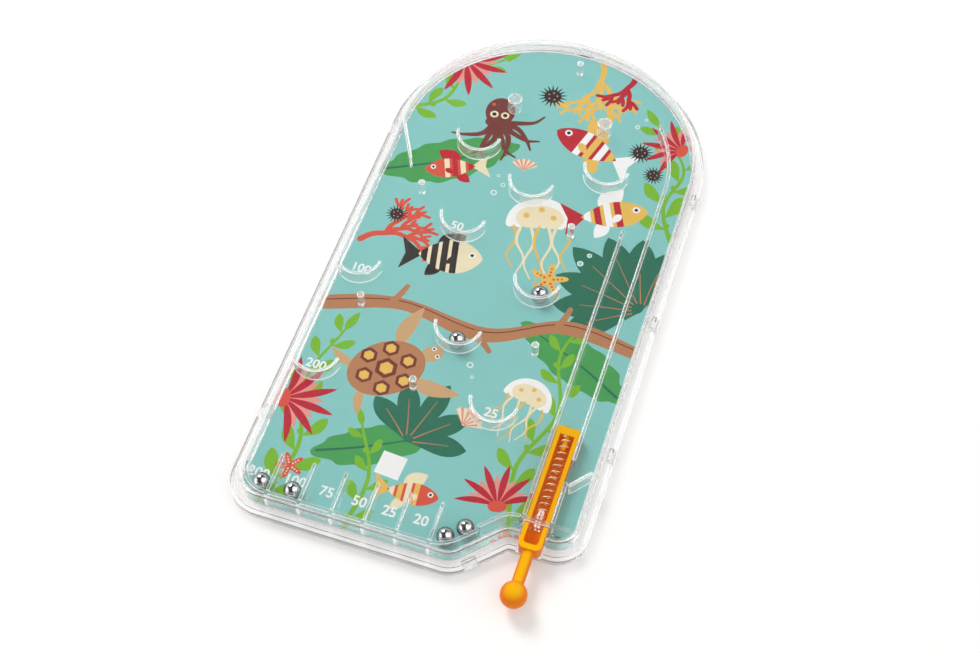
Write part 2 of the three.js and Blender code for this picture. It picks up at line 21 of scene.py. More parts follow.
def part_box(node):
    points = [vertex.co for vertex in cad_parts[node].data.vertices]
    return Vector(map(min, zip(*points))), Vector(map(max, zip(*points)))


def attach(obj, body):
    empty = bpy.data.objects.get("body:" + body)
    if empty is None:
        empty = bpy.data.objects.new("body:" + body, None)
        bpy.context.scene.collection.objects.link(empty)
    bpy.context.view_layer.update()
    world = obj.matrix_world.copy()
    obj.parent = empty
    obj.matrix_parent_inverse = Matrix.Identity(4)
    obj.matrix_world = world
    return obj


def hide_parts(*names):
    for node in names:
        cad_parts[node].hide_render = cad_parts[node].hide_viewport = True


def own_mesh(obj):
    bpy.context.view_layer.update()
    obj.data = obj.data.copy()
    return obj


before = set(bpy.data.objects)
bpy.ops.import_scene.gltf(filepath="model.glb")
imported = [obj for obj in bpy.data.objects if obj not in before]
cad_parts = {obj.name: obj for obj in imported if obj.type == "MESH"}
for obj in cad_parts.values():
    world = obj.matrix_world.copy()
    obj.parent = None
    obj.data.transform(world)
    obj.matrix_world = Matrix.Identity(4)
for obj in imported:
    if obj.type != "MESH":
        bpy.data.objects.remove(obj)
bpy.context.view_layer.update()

MM = 0.001
CASE = "case"
LOG = logging.getLogger("pinball")
HEEL_Y = -129.0
END_STEPS = 9
SHARPEST_MITRE = 0.3
LEANING = (0.15, 0.97)
SQUARE_ON = 0.9
OVERRUN = 3.0
CLEARANCE = 1.0
NOISE_RANGE = (0.3, 0.7)
UNIT = (0.0, 1.0)
WHITE_LIGHT = (1, 1, 1, 1)

Thing = bpy.types.Object
Socket = bpy.types.NodeSocket
Plan = np.ndarray
Level = tuple[float, float]
Place = tuple[float, float, float]
Colour = tuple[float, float, float, float]


def turned(points: Plan | complex, place: complex = 0, angle: float = 0.0) -> Plan:
    """Places a plan or a point: turned by an angle in degrees and moved."""
    return place + np.exp(1j * math.radians(angle)) * np.asarray(points, complex)


def arc(centre: complex, radius: float, start: float, end: float, steps: int) -> Plan:
    """Points on an arc, from one angle in degrees to another."""
    return centre + radius * np.exp(1j * np.radians(np.linspace(start, end, steps + 1)))


def circle(centre: complex, radius: float, steps: int) -> Plan:
    """Points on a whole circle."""
    return arc(centre, radius, 0, 360, steps)[:-1]


def oblong(x: Level, y: Level) -> Plan:
    """A rectangle between two values of X and two of Y."""
    return np.array([complex(x[0], y[0]), complex(x[1], y[0]), complex(x[1], y[1]), complex(x[0], y[1])])


def fillet(before: complex, corner: complex, after: complex, radius: float, steps: int) -> Plan:
    """Rounds a corner.

    Args:
        before: The point that the outline comes from.
        corner: The sharp corner.
        after: The point that the outline goes to.
        radius: Radius of the rounding.
        steps: Number of chords.

    Returns:
        The points of the round, in the order of the outline.
    """
    inward = (before - corner) / abs(before - corner)
    outward = (after - corner) / abs(after - corner)
    half = abs(np.angle(outward / inward)) / 2
    middle = (inward + outward) / abs(inward + outward)
    centre = corner + middle * radius / math.sin(half)
    reach = radius / math.tan(half)
    start = corner + inward * reach - centre
    turn = np.angle((corner + outward * reach - centre) / start)
    return centre + start * np.exp(1j * turn * np.linspace(0, 1, steps + 1))


def stroke(path: Plan, width: float | Plan, round_start: bool = True) -> Plan:
    """Outline of a band that follows a path and ends round.

    Args:
        path: Points along the middle of the band.
        width: Width of the band, or one width for each point.
        round_start: Whether the first end is round too.

    Returns:
        The closed outline, counter-clockwise.
    """
    path = np.asarray(path, complex)
    steps = np.diff(path)
    steps = steps / np.abs(steps)
    ahead = np.append(steps, steps[-1])
    back = np.insert(steps, 0, steps[0])
    along = (ahead + back) / np.abs(ahead + back)
    mitre = 1 / np.clip((along * ahead.conj()).real, SHARPEST_MITRE, 1)
    half = np.broadcast_to(width, path.shape) / 2
    offset = 1j * along * half * mitre
    turn = np.exp(1j * np.pi * np.linspace(0, 1, END_STEPS + 1)[1:-1])
    end = path[-1] - 1j * along[-1] * half[-1] * turn
    start = path[0] + 1j * along[0] * half[0] * turn if round_start else np.empty(0, complex)
    return np.concatenate([path - offset, end, (path + offset)[::-1], start])


def curve(points: Sequence[complex], steps: int = 8) -> Plan:
    """A smooth line through a few points, by Catmull-Rom segments.

    Args:
        points: Points that it goes through.
        steps: Chords between two of them.

    Returns:
        The points of the line.
    """
    p = np.asarray(points, complex)
    p = np.concatenate([[2 * p[0] - p[1]], p, [2 * p[-1] - p[-2]]])
    t = np.linspace(0, 1, steps, endpoint=False)[:, None]
    a, b, c, d = (p[i : len(p) - 3 + i] for i in range(4))
    cubic = (2 * b + (c - a) * t + (2 * a - 5 * b + 4 * c - d) * t**2 + (3 * b - 3 * c + d - a) * t**3) / 2
    return np.append(cubic.T.ravel(), p[-2])


def winds_round(outline: Plan, points: Plan) -> np.ndarray:
    """Says which points an outline goes round at least once, either way.

    Args:
        outline: The closed outline.
        points: The points.

    Returns:
        True for each point that lies inside.
    """
    found = np.zeros(len(points), bool)
    near = (points.real >= outline.real.min()) & (points.real <= outline.real.max())
    near &= (points.imag >= outline.imag.min()) & (points.imag <= outline.imag.max())
    p = points[near][:, None]
    ahead = np.roll(outline, -1)
    side = ((ahead - outline).conj() * (p - outline)).imag
    rising = (outline.imag <= p.imag) & (ahead.imag > p.imag) & (side > 0)
    falling = (outline.imag > p.imag) & (ahead.imag <= p.imag) & (side < 0)
    found[near] = rising.sum(axis=1) != falling.sum(axis=1)
    return found


@dataclass(frozen=True)
class Box:
    """A CAD node's box at rest, in millimetres."""

    low: Vector
    high: Vector

    @classmethod
    def of(cls, node: str) -> "Box":
        """The box of a named node."""
        low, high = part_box(node)
        return cls(low / MM, high / MM)

    @property
    def middle(self) -> Vector:
        """Centre of the box."""
        return (self.low + self.high) / 2

    @property
    def plan_middle(self) -> complex:
        """Centre of the box, seen from above."""
        return complex(self.middle.x, self.middle.y)

    def half(self, axis: int = 0) -> float:
        """Half of the box's side along an axis."""
        return (self.high[axis] - self.low[axis]) / 2


class Shape:
    """Makes plain meshes, each on an object at the origin, and cuts or joins them."""

    foot_round: float = 0.42
    head_round: float = 0.22
    round_angles: tuple[int, ...] = (0, 30, 60, 90)
    soft_angle: float = 40.0
    soft_segments: int = 3
    sharp_angle: float = 38.0

    @staticmethod
    def place(name: str, mesh: bpy.types.Mesh) -> Thing:
        """Puts a mesh in the scene under a name.

        Args:
            name: Name of the object.
            mesh: Its mesh.

        Returns:
            The new object.
        """
        thing = bpy.data.objects.new(name, mesh)
        bpy.context.scene.collection.objects.link(thing)
        return thing

    @classmethod
    def from_faces(cls, name: str, points: np.ndarray, faces: list[list[int]]) -> Thing:
        """Makes a closed mesh whose faces point outwards.

        Args:
            name: Name of the object.
            points: Corners in millimetres, one row each.
            faces: Corner numbers of each face.

        Returns:
            The new object.
        """
        mesh = bpy.data.meshes.new(name)
        mesh.from_pydata((np.asarray(points) * MM).tolist(), [], faces)
        built = bmesh.new()
        built.from_mesh(mesh)
        bmesh.ops.recalc_face_normals(built, faces=built.faces)
        built.to_mesh(mesh)
        built.free()
        return cls.place(name, mesh)

    @classmethod
    def loft(cls, name: str, rings: Sequence[tuple[Plan, float]]) -> Thing:
        """Joins plans at several heights into a closed body with flat ends.

        Args:
            name: Name of the object.
            rings: Each plan with its height; all have as many points.

        Returns:
            The new object.
        """
        count = len(rings[0][0])
        points = np.concatenate([np.stack([p.real, p.imag, np.full(count, z)], 1) for p, z in rings])
        around = np.arange(count)
        faces = [list(range(count))[::-1], list(range(len(points) - count, len(points)))]
        for level in range(len(rings) - 1):
            a = level * count + around
            b = level * count + (around + 1) % count
            faces += np.stack([a, b, b + count, a + count], 1).tolist()
        return cls.from_faces(name, points, faces)

    @classmethod
    def prism(cls, name: str, plan: Plan, low: float, high: float) -> Thing:
        """Raises a plan into a body with upright sides."""
        return cls.loft(name, [(plan, low), (plan, high)])

    @classmethod
    def upright(cls, name: str, plan: Plan, low: float, high: float) -> Thing:
        """Raises a plan into a wall with a rounded foot and a slightly rounded head.

        Args:
            name: Name of the object.
            plan: Counter-clockwise outline.
            low: Height of the foot.
            high: Height of the top.

        Returns:
            The new object.
        """
        ahead = np.roll(plan, -1) - plan
        ahead = ahead / np.abs(ahead)
        along = ahead + np.roll(ahead, 1)
        inward = 1j * along / np.abs(along)
        foot, head = cls.foot_round, cls.head_round
        turn = [(math.sin(a), math.cos(a)) for a in np.radians(cls.round_angles)]
        rings = [(plan + inward * foot * (1 - s), low + foot * (1 - c)) for s, c in turn]
        rings += [(plan + inward * head * (1 - s), high - head * (1 - c)) for s, c in turn[::-1]]
        return cls.loft(name, rings)

    @classmethod
    def block(cls, name: str, low: Sequence[float], high: Sequence[float]) -> Thing:
        """Makes a box between two corners."""
        return cls.prism(name, oblong((low[0], high[0]), (low[1], high[1])), low[2], high[2])

    @classmethod
    def lathe(cls, name: str, profile: Sequence[Level], centre: Sequence[float], steps: int) -> Thing:
        """Turns a profile round a line that runs along Y.

        Args:
            name: Name of the object.
            profile: Pairs of radius and Y, from one end to the other; both ends have radius zero.
            centre: X and Z of the line.
            steps: Number of faces round it.

        Returns:
            The new object.
        """
        x, z = centre
        angles = np.linspace(0, 2 * np.pi, steps, endpoint=False)
        points = [[x, profile[0][1], z]]
        points += [[x + r * math.cos(a), y, z + r * math.sin(a)] for r, y in profile[1:-1] for a in angles]
        points.append([x, profile[-1][1], z])
        last = len(points) - 1
        faces = []
        for k in range(steps):
            after = (k + 1) % steps
            faces.append([0, 1 + k, 1 + after])
            faces.append([last, last - steps + after, last - steps + k])
            for row in range(len(profile) - 3):
                a, b = 1 + row * steps + k, 1 + row * steps + after
                faces.append([a, a + steps, b + steps, b])
        return cls.from_faces(name, np.array(points), faces)

    @staticmethod
    def settle(thing: Thing) -> Thing:
        """Turns an object's modifiers into its plain mesh and takes them off.

        Args:
            thing: The object.

        Returns:
            The same object.
        """
        graph = bpy.context.evaluated_depsgraph_get()
        mesh = bpy.data.meshes.new_from_object(thing.evaluated_get(graph), depsgraph=graph)
        mesh.name = thing.name
        thing.modifiers.clear()
        thing.data = mesh
        return thing

    @classmethod
    def combine(cls, thing: Thing, tools: Sequence[Thing], how: str) -> Thing:
        """Cuts with, joins with or trims to other bodies, which are used up.

        Args:
            thing: The body that is kept.
            tools: Bodies to use, none of which touches another.
            how: DIFFERENCE, UNION or INTERSECT.

        Returns:
            The changed body.
        """
        merged = bmesh.new()
        for tool in tools:
            merged.from_mesh(tool.data)
            bpy.data.objects.remove(tool)
        mesh = bpy.data.meshes.new("tools")
        merged.to_mesh(mesh)
        merged.free()
        together = cls.place("tools", mesh)
        step = thing.modifiers.new(how.lower(), "BOOLEAN")
        step.operation, step.solver, step.object = how, "EXACT", together
        cls.settle(thing)
        bpy.data.objects.remove(together)
        return thing

    @classmethod
    def cut(cls, thing: Thing, *tools: Thing) -> Thing:
        """Cuts other bodies, which are used up, out of a body."""
        return cls.combine(thing, tools, "DIFFERENCE")

    @classmethod
    def join(cls, thing: Thing, *tools: Thing) -> Thing:
        """Joins other bodies, which are used up, to a body."""
        return cls.combine(thing, tools, "UNION")

    @classmethod
    def soften(cls, thing: Thing, width: float) -> Thing:
        """Rounds every sharp edge.

        Args:
            thing: The body.
            width: Width of the rounding, in millimetres.

        Returns:
            The changed body.
        """
        bevel = thing.modifiers.new("edges", "BEVEL")
        bevel.width, bevel.segments = width * MM, cls.soft_segments
        bevel.angle_limit = math.radians(cls.soft_angle)
        bevel.use_clamp_overlap = True
        return cls.settle(thing)

    @classmethod
    def polish(cls, thing: Thing) -> Thing:
        """Shades a body smoothly across its rounded edges and flat on its flat faces.

        Args:
            thing: The body.

        Returns:
            The same body.
        """
        thing.data.polygons.foreach_set("use_smooth", [True] * len(thing.data.polygons))
        thing.data.set_sharp_from_angle(angle=math.radians(cls.sharp_angle))
        thing.modifiers.new("normals", "WEIGHTED_NORMAL").keep_sharp = True
        return cls.settle(thing)


def finish_edges(thing: Thing, finish: "Finish", above_z: float = 0.0, beyond_y: float = -math.inf) -> None:
    """Gives the leaning faces above a height, and all faces beyond a Y, a finish of their own.

    Args:
        thing: The dressed piece.
        finish: The finish of the chosen faces.
        above_z: Height from which leaning faces are chosen.
        beyond_y: Y below which every face is chosen.
    """
    thing.data.materials.append(finish.material())
    for face in thing.data.polygons:
        leaning = LEANING[0] < abs(face.normal.z) < LEANING[1] and face.center.z > above_z * MM
        if leaning or face.center.y < beyond_y * MM:
            face.material_index = 1


class Graph:
    """Short way to build a node tree."""

    def __init__(self, tree: bpy.types.NodeTree) -> None:
        """Starts from an empty tree."""
        self.tree = tree
        tree.nodes.clear()

    def add(self, kind: str, settings: dict | None = None, **inputs: object) -> bpy.types.Node:
        """Adds a node.

        Args:
            kind: Full name of the node's type.
            settings: Properties of the node.
            **inputs: Values or output sockets, by input name with _ for a space, or by in0, in1 and so on.

        Returns:
            The new node.
        """
        node = self.tree.nodes.new(kind)
        for name, value in (settings or {}).items():
            setattr(node, name, value)
        for name, value in inputs.items():
            number = name.removeprefix("in")
            socket = node.inputs[int(number)] if number.isdigit() else node.inputs[name.replace("_", " ")]
            if isinstance(value, Socket):
                self.tree.links.new(value, socket)
            else:
                socket.default_value = value
        return node

    def math(self, operation: str, a: object, b: object = 0.0) -> Socket:
        """Adds one sum of two numbers and gives its result."""
        return self.add("ShaderNodeMath", {"operation": operation}, in0=a, in1=b).outputs[0]

    def mapped(self, value: Socket, source: Sequence, target: Level, smooth: bool = False) -> Socket:
        """Maps one range of a value to another and holds it there.

        Args:
            value: The value.
            source: The two ends of its range.
            target: The two ends of the new range.
            smooth: Whether the change starts and ends gently.

        Returns:
            The mapped value.
        """
        settings = {"interpolation_type": "SMOOTHSTEP" if smooth else "LINEAR"}
        ends = {f"in{k}": end for k, end in enumerate((value, *source, *target))}
        return self.add("ShaderNodeMapRange", settings, **ends).outputs[0]

    def between(self, share: Socket, first: object, second: object) -> Socket:
        """A number between two others."""
        return self.add("ShaderNodeMix", in0=share, in2=first, in3=second).outputs[0]

    def blend(self, share: Socket, first: Colour, second: Colour) -> Socket:
        """A colour between two others."""
        return self.add("ShaderNodeMix", {"data_type": "RGBA"}, in0=share, in6=first, in7=second).outputs[2]

    def upward(self, vector: Socket) -> Socket:
        """The Z part of a vector."""
        return self.add("ShaderNodeSeparateXYZ", Vector=vector).outputs["Z"]

    def place(self) -> Socket:
        """Object coordinates."""
        return self.add("ShaderNodeTexCoord").outputs["Object"]

    def height(self) -> Socket:
        """Height on the object, in millimetres."""
        return self.math("MULTIPLY", self.upward(self.place()), 1 / MM)

    def noise(self, scale: float, detail: float = 2.0) -> Socket:
        """A fine noise on object coordinates; scale is in waves for each metre."""
        return self.add("ShaderNodeTexNoise", Vector=self.place(), Scale=scale, Detail=detail).outputs["Fac"]

    def spread(self, noise: Socket, low: float, high: float) -> Socket:
        """Maps a noise to a range."""
        return self.mapped(noise, NOISE_RANGE, (low, high))

    def bump(self, height: Socket, strength: float, depth: float) -> Socket:
        """A surface raised by a noise, up to a depth in metres."""
        return self.add("ShaderNodeBump", Height=height, Strength=strength, Distance=depth).outputs[0]

    def surface(self, **inputs: object) -> Socket:
        """A principled surface."""
        return self.add("ShaderNodeBsdfPrincipled", **inputs).outputs[0]


def linear(*srgb: float) -> Colour:
    """A colour written as 0 to 255 values, as Blender's sockets take it."""
    parts = [c / 255 for c in srgb]
    return (*(c / 12.92 if c <= 0.04045 else ((c + 0.055) / 1.055) ** 2.4 for c in parts), 1.0)


@dataclass(frozen=True)
class Finish:
    """A finish of one surface: builds its material once."""

    name: str

    def material(self) -> bpy.types.Material:
        """The material, made at its first use.

        Returns:
            The material.
        """
        known = bpy.data.materials.get(self.name)
        if known is None:
            known = bpy.data.materials.new(self.name)
            known.use_nodes = True
            self.build(Graph(known.node_tree))
        return known

    def build(self, graph: Graph) -> None:
        """Makes the node tree."""
        raise NotImplementedError

    def output(self, graph: Graph, surface: Socket) -> None:
        """Ends the tree at the material's output."""
        graph.add("ShaderNodeOutputMaterial", Surface=surface)

    def dress(self, thing: Thing) -> Thing:
        """Gives the whole object this finish.

        Args:
            thing: The object.

        Returns:
            The same object.
        """
        thing.data.materials.clear()
        thing.data.materials.append(self.material())
        return thing


@dataclass(frozen=True)
class ClearPlastic(Finish):
    """Clear moulded plastic, a little milky in its walls and at its foot, where a milkier band paints a
    bright line, with an optional painted edge glow; soft light passes it.
    """

    tint: Colour = (0.992, 0.996, 0.996, 1)
    roughness: float = 0.03
    shade: float = 0.985
    foot_clarity: float = 0.85
    wall_clarity: float = 0.92
    roof_clarity: float = 1.0
    foot_z: float = 4.3
    roof_z: float = 12.0
    painted_edge_glow: float = 0.0
    change: float = 0.3
    waves: float = 90.0
    gloss: Level = (0.6, 1.4)
    side_blend: float = 0.25
    side_shade: float = 0.9

    def build(self, graph: Graph) -> None:
        """Glass for sight, and a tinted film for light that only passes through.

        Args:
            graph: The material's empty tree.
        """
        noise, height = graph.noise(self.waves), graph.height()
        # The milkier band at the foot paints the bright line that light draws along a foot.
        foot = (self.foot_z - self.change, self.foot_z + self.change)
        roof = (self.roof_z, self.roof_z + self.change)
        low = graph.mapped(height, foot, (self.foot_clarity, self.wall_clarity))
        high = graph.mapped(height, roof, (self.wall_clarity, self.roof_clarity))
        glass = graph.surface(
            Base_Color=self.tint,
            Roughness=graph.spread(noise, *(self.roughness * share for share in self.gloss)),
            IOR=1.5,
            Transmission_Weight=graph.between(graph.math("GREATER_THAN", height, self.roof_z), low, high),
            # Painted glow: a white emission that makes chosen edges and walls look lit.
            Emission_Color=WHITE_LIGHT,
            Emission_Strength=self.painted_edge_glow,
            Normal=graph.bump(noise, 0.04, 0.0004),
        )
        facing = graph.add("ShaderNodeLayerWeight", Blend=self.side_blend).outputs["Facing"]
        dim = graph.mapped(facing, UNIT, (self.shade, self.shade * self.side_shade))
        film = graph.add("ShaderNodeBsdfTransparent", Color=dim).outputs[0]
        path = graph.add("ShaderNodeLightPath").outputs
        passing = graph.math("MAXIMUM", path["Is Shadow Ray"], path["Is Diffuse Ray"])
        self.output(graph, graph.add("ShaderNodeMixShader", in0=passing, in1=glass, in2=film).outputs[0])


@dataclass(frozen=True)
class MouldedColour(Finish):
    """Opaque coloured plastic with painted shade: a darker orange lower down, in its hollows, underneath and
    on faces that lean from straight up; it also has a painted glow.
    """

    colour: Colour = linear(226, 165, 0)
    # Painted shade: the darker colour, and the heights and upward slopes over which it gives way to the lit
    # colour.
    deep: Colour = linear(216, 114, 14)
    painted_shade_z: Level = (5.6, 9.0)
    painted_shade_slope: Level = (0.55, 1.0)
    flow_marks: float = 160.0
    waviness: float = 1.2
    skin: float = 2500.0
    inner_light: float = 0.22
    glow: Place = (1.0, 0.45, 0.05)

    def build(self, graph: Graph) -> None:
        """Satin plastic with faint flow marks, painted shade by height and slope, and a painted glow.

        Args:
            graph: The material's empty tree.
        """
        noise = graph.noise(self.flow_marks, 3)
        # The same noise makes the edge of the painted shade wavy.
        wavy = graph.math("ADD", graph.height(), graph.math("MULTIPLY", noise, self.waviness))
        slope = graph.upward(graph.add("ShaderNodeNewGeometry").outputs["Normal"])
        # Painted shade: the colour goes to the darker one lower down and on faces that lean from straight
        # up.
        raised = graph.mapped(wavy, self.painted_shade_z, UNIT, smooth=True)
        level = graph.mapped(slope, self.painted_shade_slope, UNIT, smooth=True)
        tone = graph.blend(graph.math("MULTIPLY", raised, level), self.deep, self.colour)
        plastic = graph.surface(
            Base_Color=tone,
            Roughness=graph.spread(noise, 0.32, 0.45),
            IOR=1.4,
            Specular_IOR_Level=0.2,
            # Painted glow: the plastic gives off light in its own tone, though it is no lamp.
            Emission_Color=tone,
            Emission_Strength=self.inner_light,
            Subsurface_Weight=0.15,
            Subsurface_Radius=self.glow,
            Subsurface_Scale=0.0012,
            Normal=graph.bump(graph.noise(self.skin), 0.05, 0.0002),
        )
        self.output(graph, plastic)


@dataclass(frozen=True)
class Metal(Finish):
    """Bare metal with fine scratches."""

    colour: Colour
    roughness: float
    scratches: float = 700.0
    rim: Colour = WHITE_LIGHT
    dulled: float = 0.86
    gloss: Level = (0.6, 1.6)

    def build(self, graph: Graph) -> None:
        """Polished metal whose gloss and tone vary a little.

        Args:
            graph: The material's empty tree.
        """
        noise = graph.noise(self.scratches, 4)
        dark = (*(c * self.dulled for c in self.colour[:3]), 1)
        metal = graph.surface(
            Base_Color=graph.blend(graph.spread(noise, *UNIT), dark, self.colour),
            Metallic=1.0,
            Specular_Tint=self.rim,
            Roughness=graph.spread(noise, *(self.roughness * share for share in self.gloss)),
            Normal=graph.bump(noise, 0.03, 0.0001),
        )
        self.output(graph, metal)


@dataclass(frozen=True)
class Printed(Finish):
    """Flat ink on coated card."""

    colour: Colour
    cover: float = 0.95
    paper: float = 0.012
    blots: float = 260.0
    fibres: float = 4000.0

    def build(self, graph: Graph) -> None:
        """Ink that covers a little unevenly, over a faint paper grain.

        Args:
            graph: The material's empty tree.
        """
        pale = (*(c * self.cover + self.paper for c in self.colour[:3]), 1)
        fibre = graph.noise(self.fibres)
        ink = graph.surface(
            Base_Color=graph.blend(graph.spread(graph.noise(self.blots, 4), *UNIT), pale, self.colour),
            Roughness=graph.spread(fibre, 0.5, 0.65),
            Specular_IOR_Level=0.3,
            Normal=graph.bump(fibre, 0.03, 0.0002),
        )
        self.output(graph, ink)


class Ink(Enum):
    """Colours of the printed card."""

    SEA = (137, 200, 195)
    LIME = (122, 182, 48)
    LEAF = (72, 156, 84)
    DEEP = (42, 108, 84)
    RED = (186, 36, 52)
    CORAL = (216, 84, 66)
    PINK = (228, 152, 142)
    MUSTARD = (232, 188, 92)
    BROWN = (182, 126, 88)
    TAN = (205, 165, 120)
    UMBER = (112, 52, 46)
    BLACK = (42, 34, 32)
    CREAM = (240, 226, 190)
    WHITE = (246, 246, 244)

    @property
    def finish(self) -> Printed:
        """The ink as a finish."""
        return Printed(f"ink_{self.name.lower()}", linear(*self.value))


BOARD = Printed("card_board", linear(226, 222, 212))
COVER_PLASTIC = ClearPlastic("cover_plastic", foot_clarity=0.96, wall_clarity=0.985)
BEND_PLASTIC = ClearPlastic("bend_plastic", roughness=0.28, wall_clarity=0.98, roof_clarity=0.96)
CUP_PLASTIC = ClearPlastic("cup_plastic", foot_clarity=0.6, wall_clarity=0.86, roof_clarity=0.85)
WALL_PLASTIC = ClearPlastic("wall_plastic", foot_clarity=0.9, wall_clarity=0.96, roof_clarity=0.9)
# Painted highlight: very milky plastic with a painted glow, put on rounded edges, rib ends and cut faces
# where light would glint.
PAINTED_HIGHLIGHT_PLASTIC = ClearPlastic(
    "edge_plastic", foot_clarity=0.2, wall_clarity=0.3, roof_clarity=0.5, painted_edge_glow=0.25
)
TRAY_PLASTIC = ClearPlastic("tray_plastic", (0.99, 0.99, 0.995, 1), 0.04, 0.98, 0.96, 0.96, 0.96)
# Painted shade and glow: a grey tint that darkens the tray's outer walls, and a faint white glow on them.
PAINTED_SHADE_RIM_PLASTIC = ClearPlastic(
    "rim_plastic", (0.6, 0.59, 0.595, 1), 0.14, 0.85, 0.92, 0.92, 0.92, painted_edge_glow=0.14
)
PLUNGER_PLASTIC = MouldedColour("plunger_plastic")
# The wire's warm tint is in part painted reflection of the yellow plastic round it.
SPRING_WIRE = Metal("coil_wire", linear(246, 226, 198), 0.42, 1500)
BALL_STEEL = Metal("polished_steel", linear(196, 196, 198), 0.12, rim=linear(130, 131, 134))


class Slot(Enum):
    """The record's material slots."""

    COVER = "clear_cover"
    FEATURE = "clear_plastic"
    TRAY = "clear_tray"
    CARD = "printed_card"
    PLUNGER = "plunger"
    SPRING = "spring_wire"
    BALL = "ball_steel"


def install(piece: Thing, body: str, nodes: Sequence[str]) -> None:
    """Fits a finished piece to the frame.

    Args:
        piece: The finished piece.
        body: The CAD body that it rides on.
        nodes: The CAD nodes that it stands for.
    """
    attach(piece, body)
    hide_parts(*nodes)
    faces = len(piece.data.polygons)
    LOG.info("%s stands for %s on %s, %d faces", piece.name, ", ".join(nodes), body, faces)


@dataclass(frozen=True)
class CaseOutline:
    """Plan of the card and the case: an arch, straight sides, and a heel behind a slanted notch."""

    half_width: float
    half_length: float
    heel_y: float
    arch_height: float = 71.0
    foot_radius: float = 11.5
    toe_radius: float = 8.0
    instep_radius: float = 9.0
    heel_radius: float = 8.0
    notch_angle: float = math.radians(45)
    instep_x: float = 46.1
    arch_steps: int = 160
    corner_steps: int = 16

    @property
    def toe_x(self) -> float:
        """Where the slanted notch starts at the foot."""
        return self.instep_x - (self.heel_y + self.half_length) / math.tan(self.notch_angle)

    def ring(self, grow: float) -> Plan:
        """The outline, grown outwards.

        Args:
            grow: Distance outwards from the card's edge.

        Returns:
            The closed outline, counter-clockwise from the right end of the arch.
        """
        side = self.half_width + grow
        foot = -self.half_length - grow
        heel = self.heel_y - grow
        shift = grow * math.tan(self.notch_angle / 2)
        angles = np.linspace(0, np.pi, self.arch_steps + 1)
        arch_y = self.half_length - self.arch_height
        arch = side * np.cos(angles) + 1j * (arch_y + (self.arch_height + grow) * np.sin(angles))
        left = complex(-side, foot)
        toe = complex(self.toe_x + shift, foot)
        instep = complex(self.instep_x + shift, heel)
        right = complex(side, heel)
        n = self.corner_steps
        return np.concatenate([
            arch,
            fillet(arch[-1], left, toe, self.foot_radius + grow, n),
            fillet(left, toe, instep, self.toe_radius + grow, n),
            fillet(toe, instep, right, self.instep_radius - grow, n),
            fillet(instep, right, arch[0], self.heel_radius + grow, n),
        ])

    def body(self, name: str, section: Sequence[Level]) -> Thing:
        """Runs a section of distance outwards and height round the outline."""
        return Shape.loft(name, [(self.ring(grow), z) for grow, z in section])


def rounding(centre: Level, radius: float, start: float, end: float, steps: int = 6) -> list[Level]:
    """Part of a section: a quarter round or less, between two angles in degrees."""
    turn = arc(complex(*centre), radius, start, end, steps)
    return list(zip(turn.real.tolist(), turn.imag.tolist()))


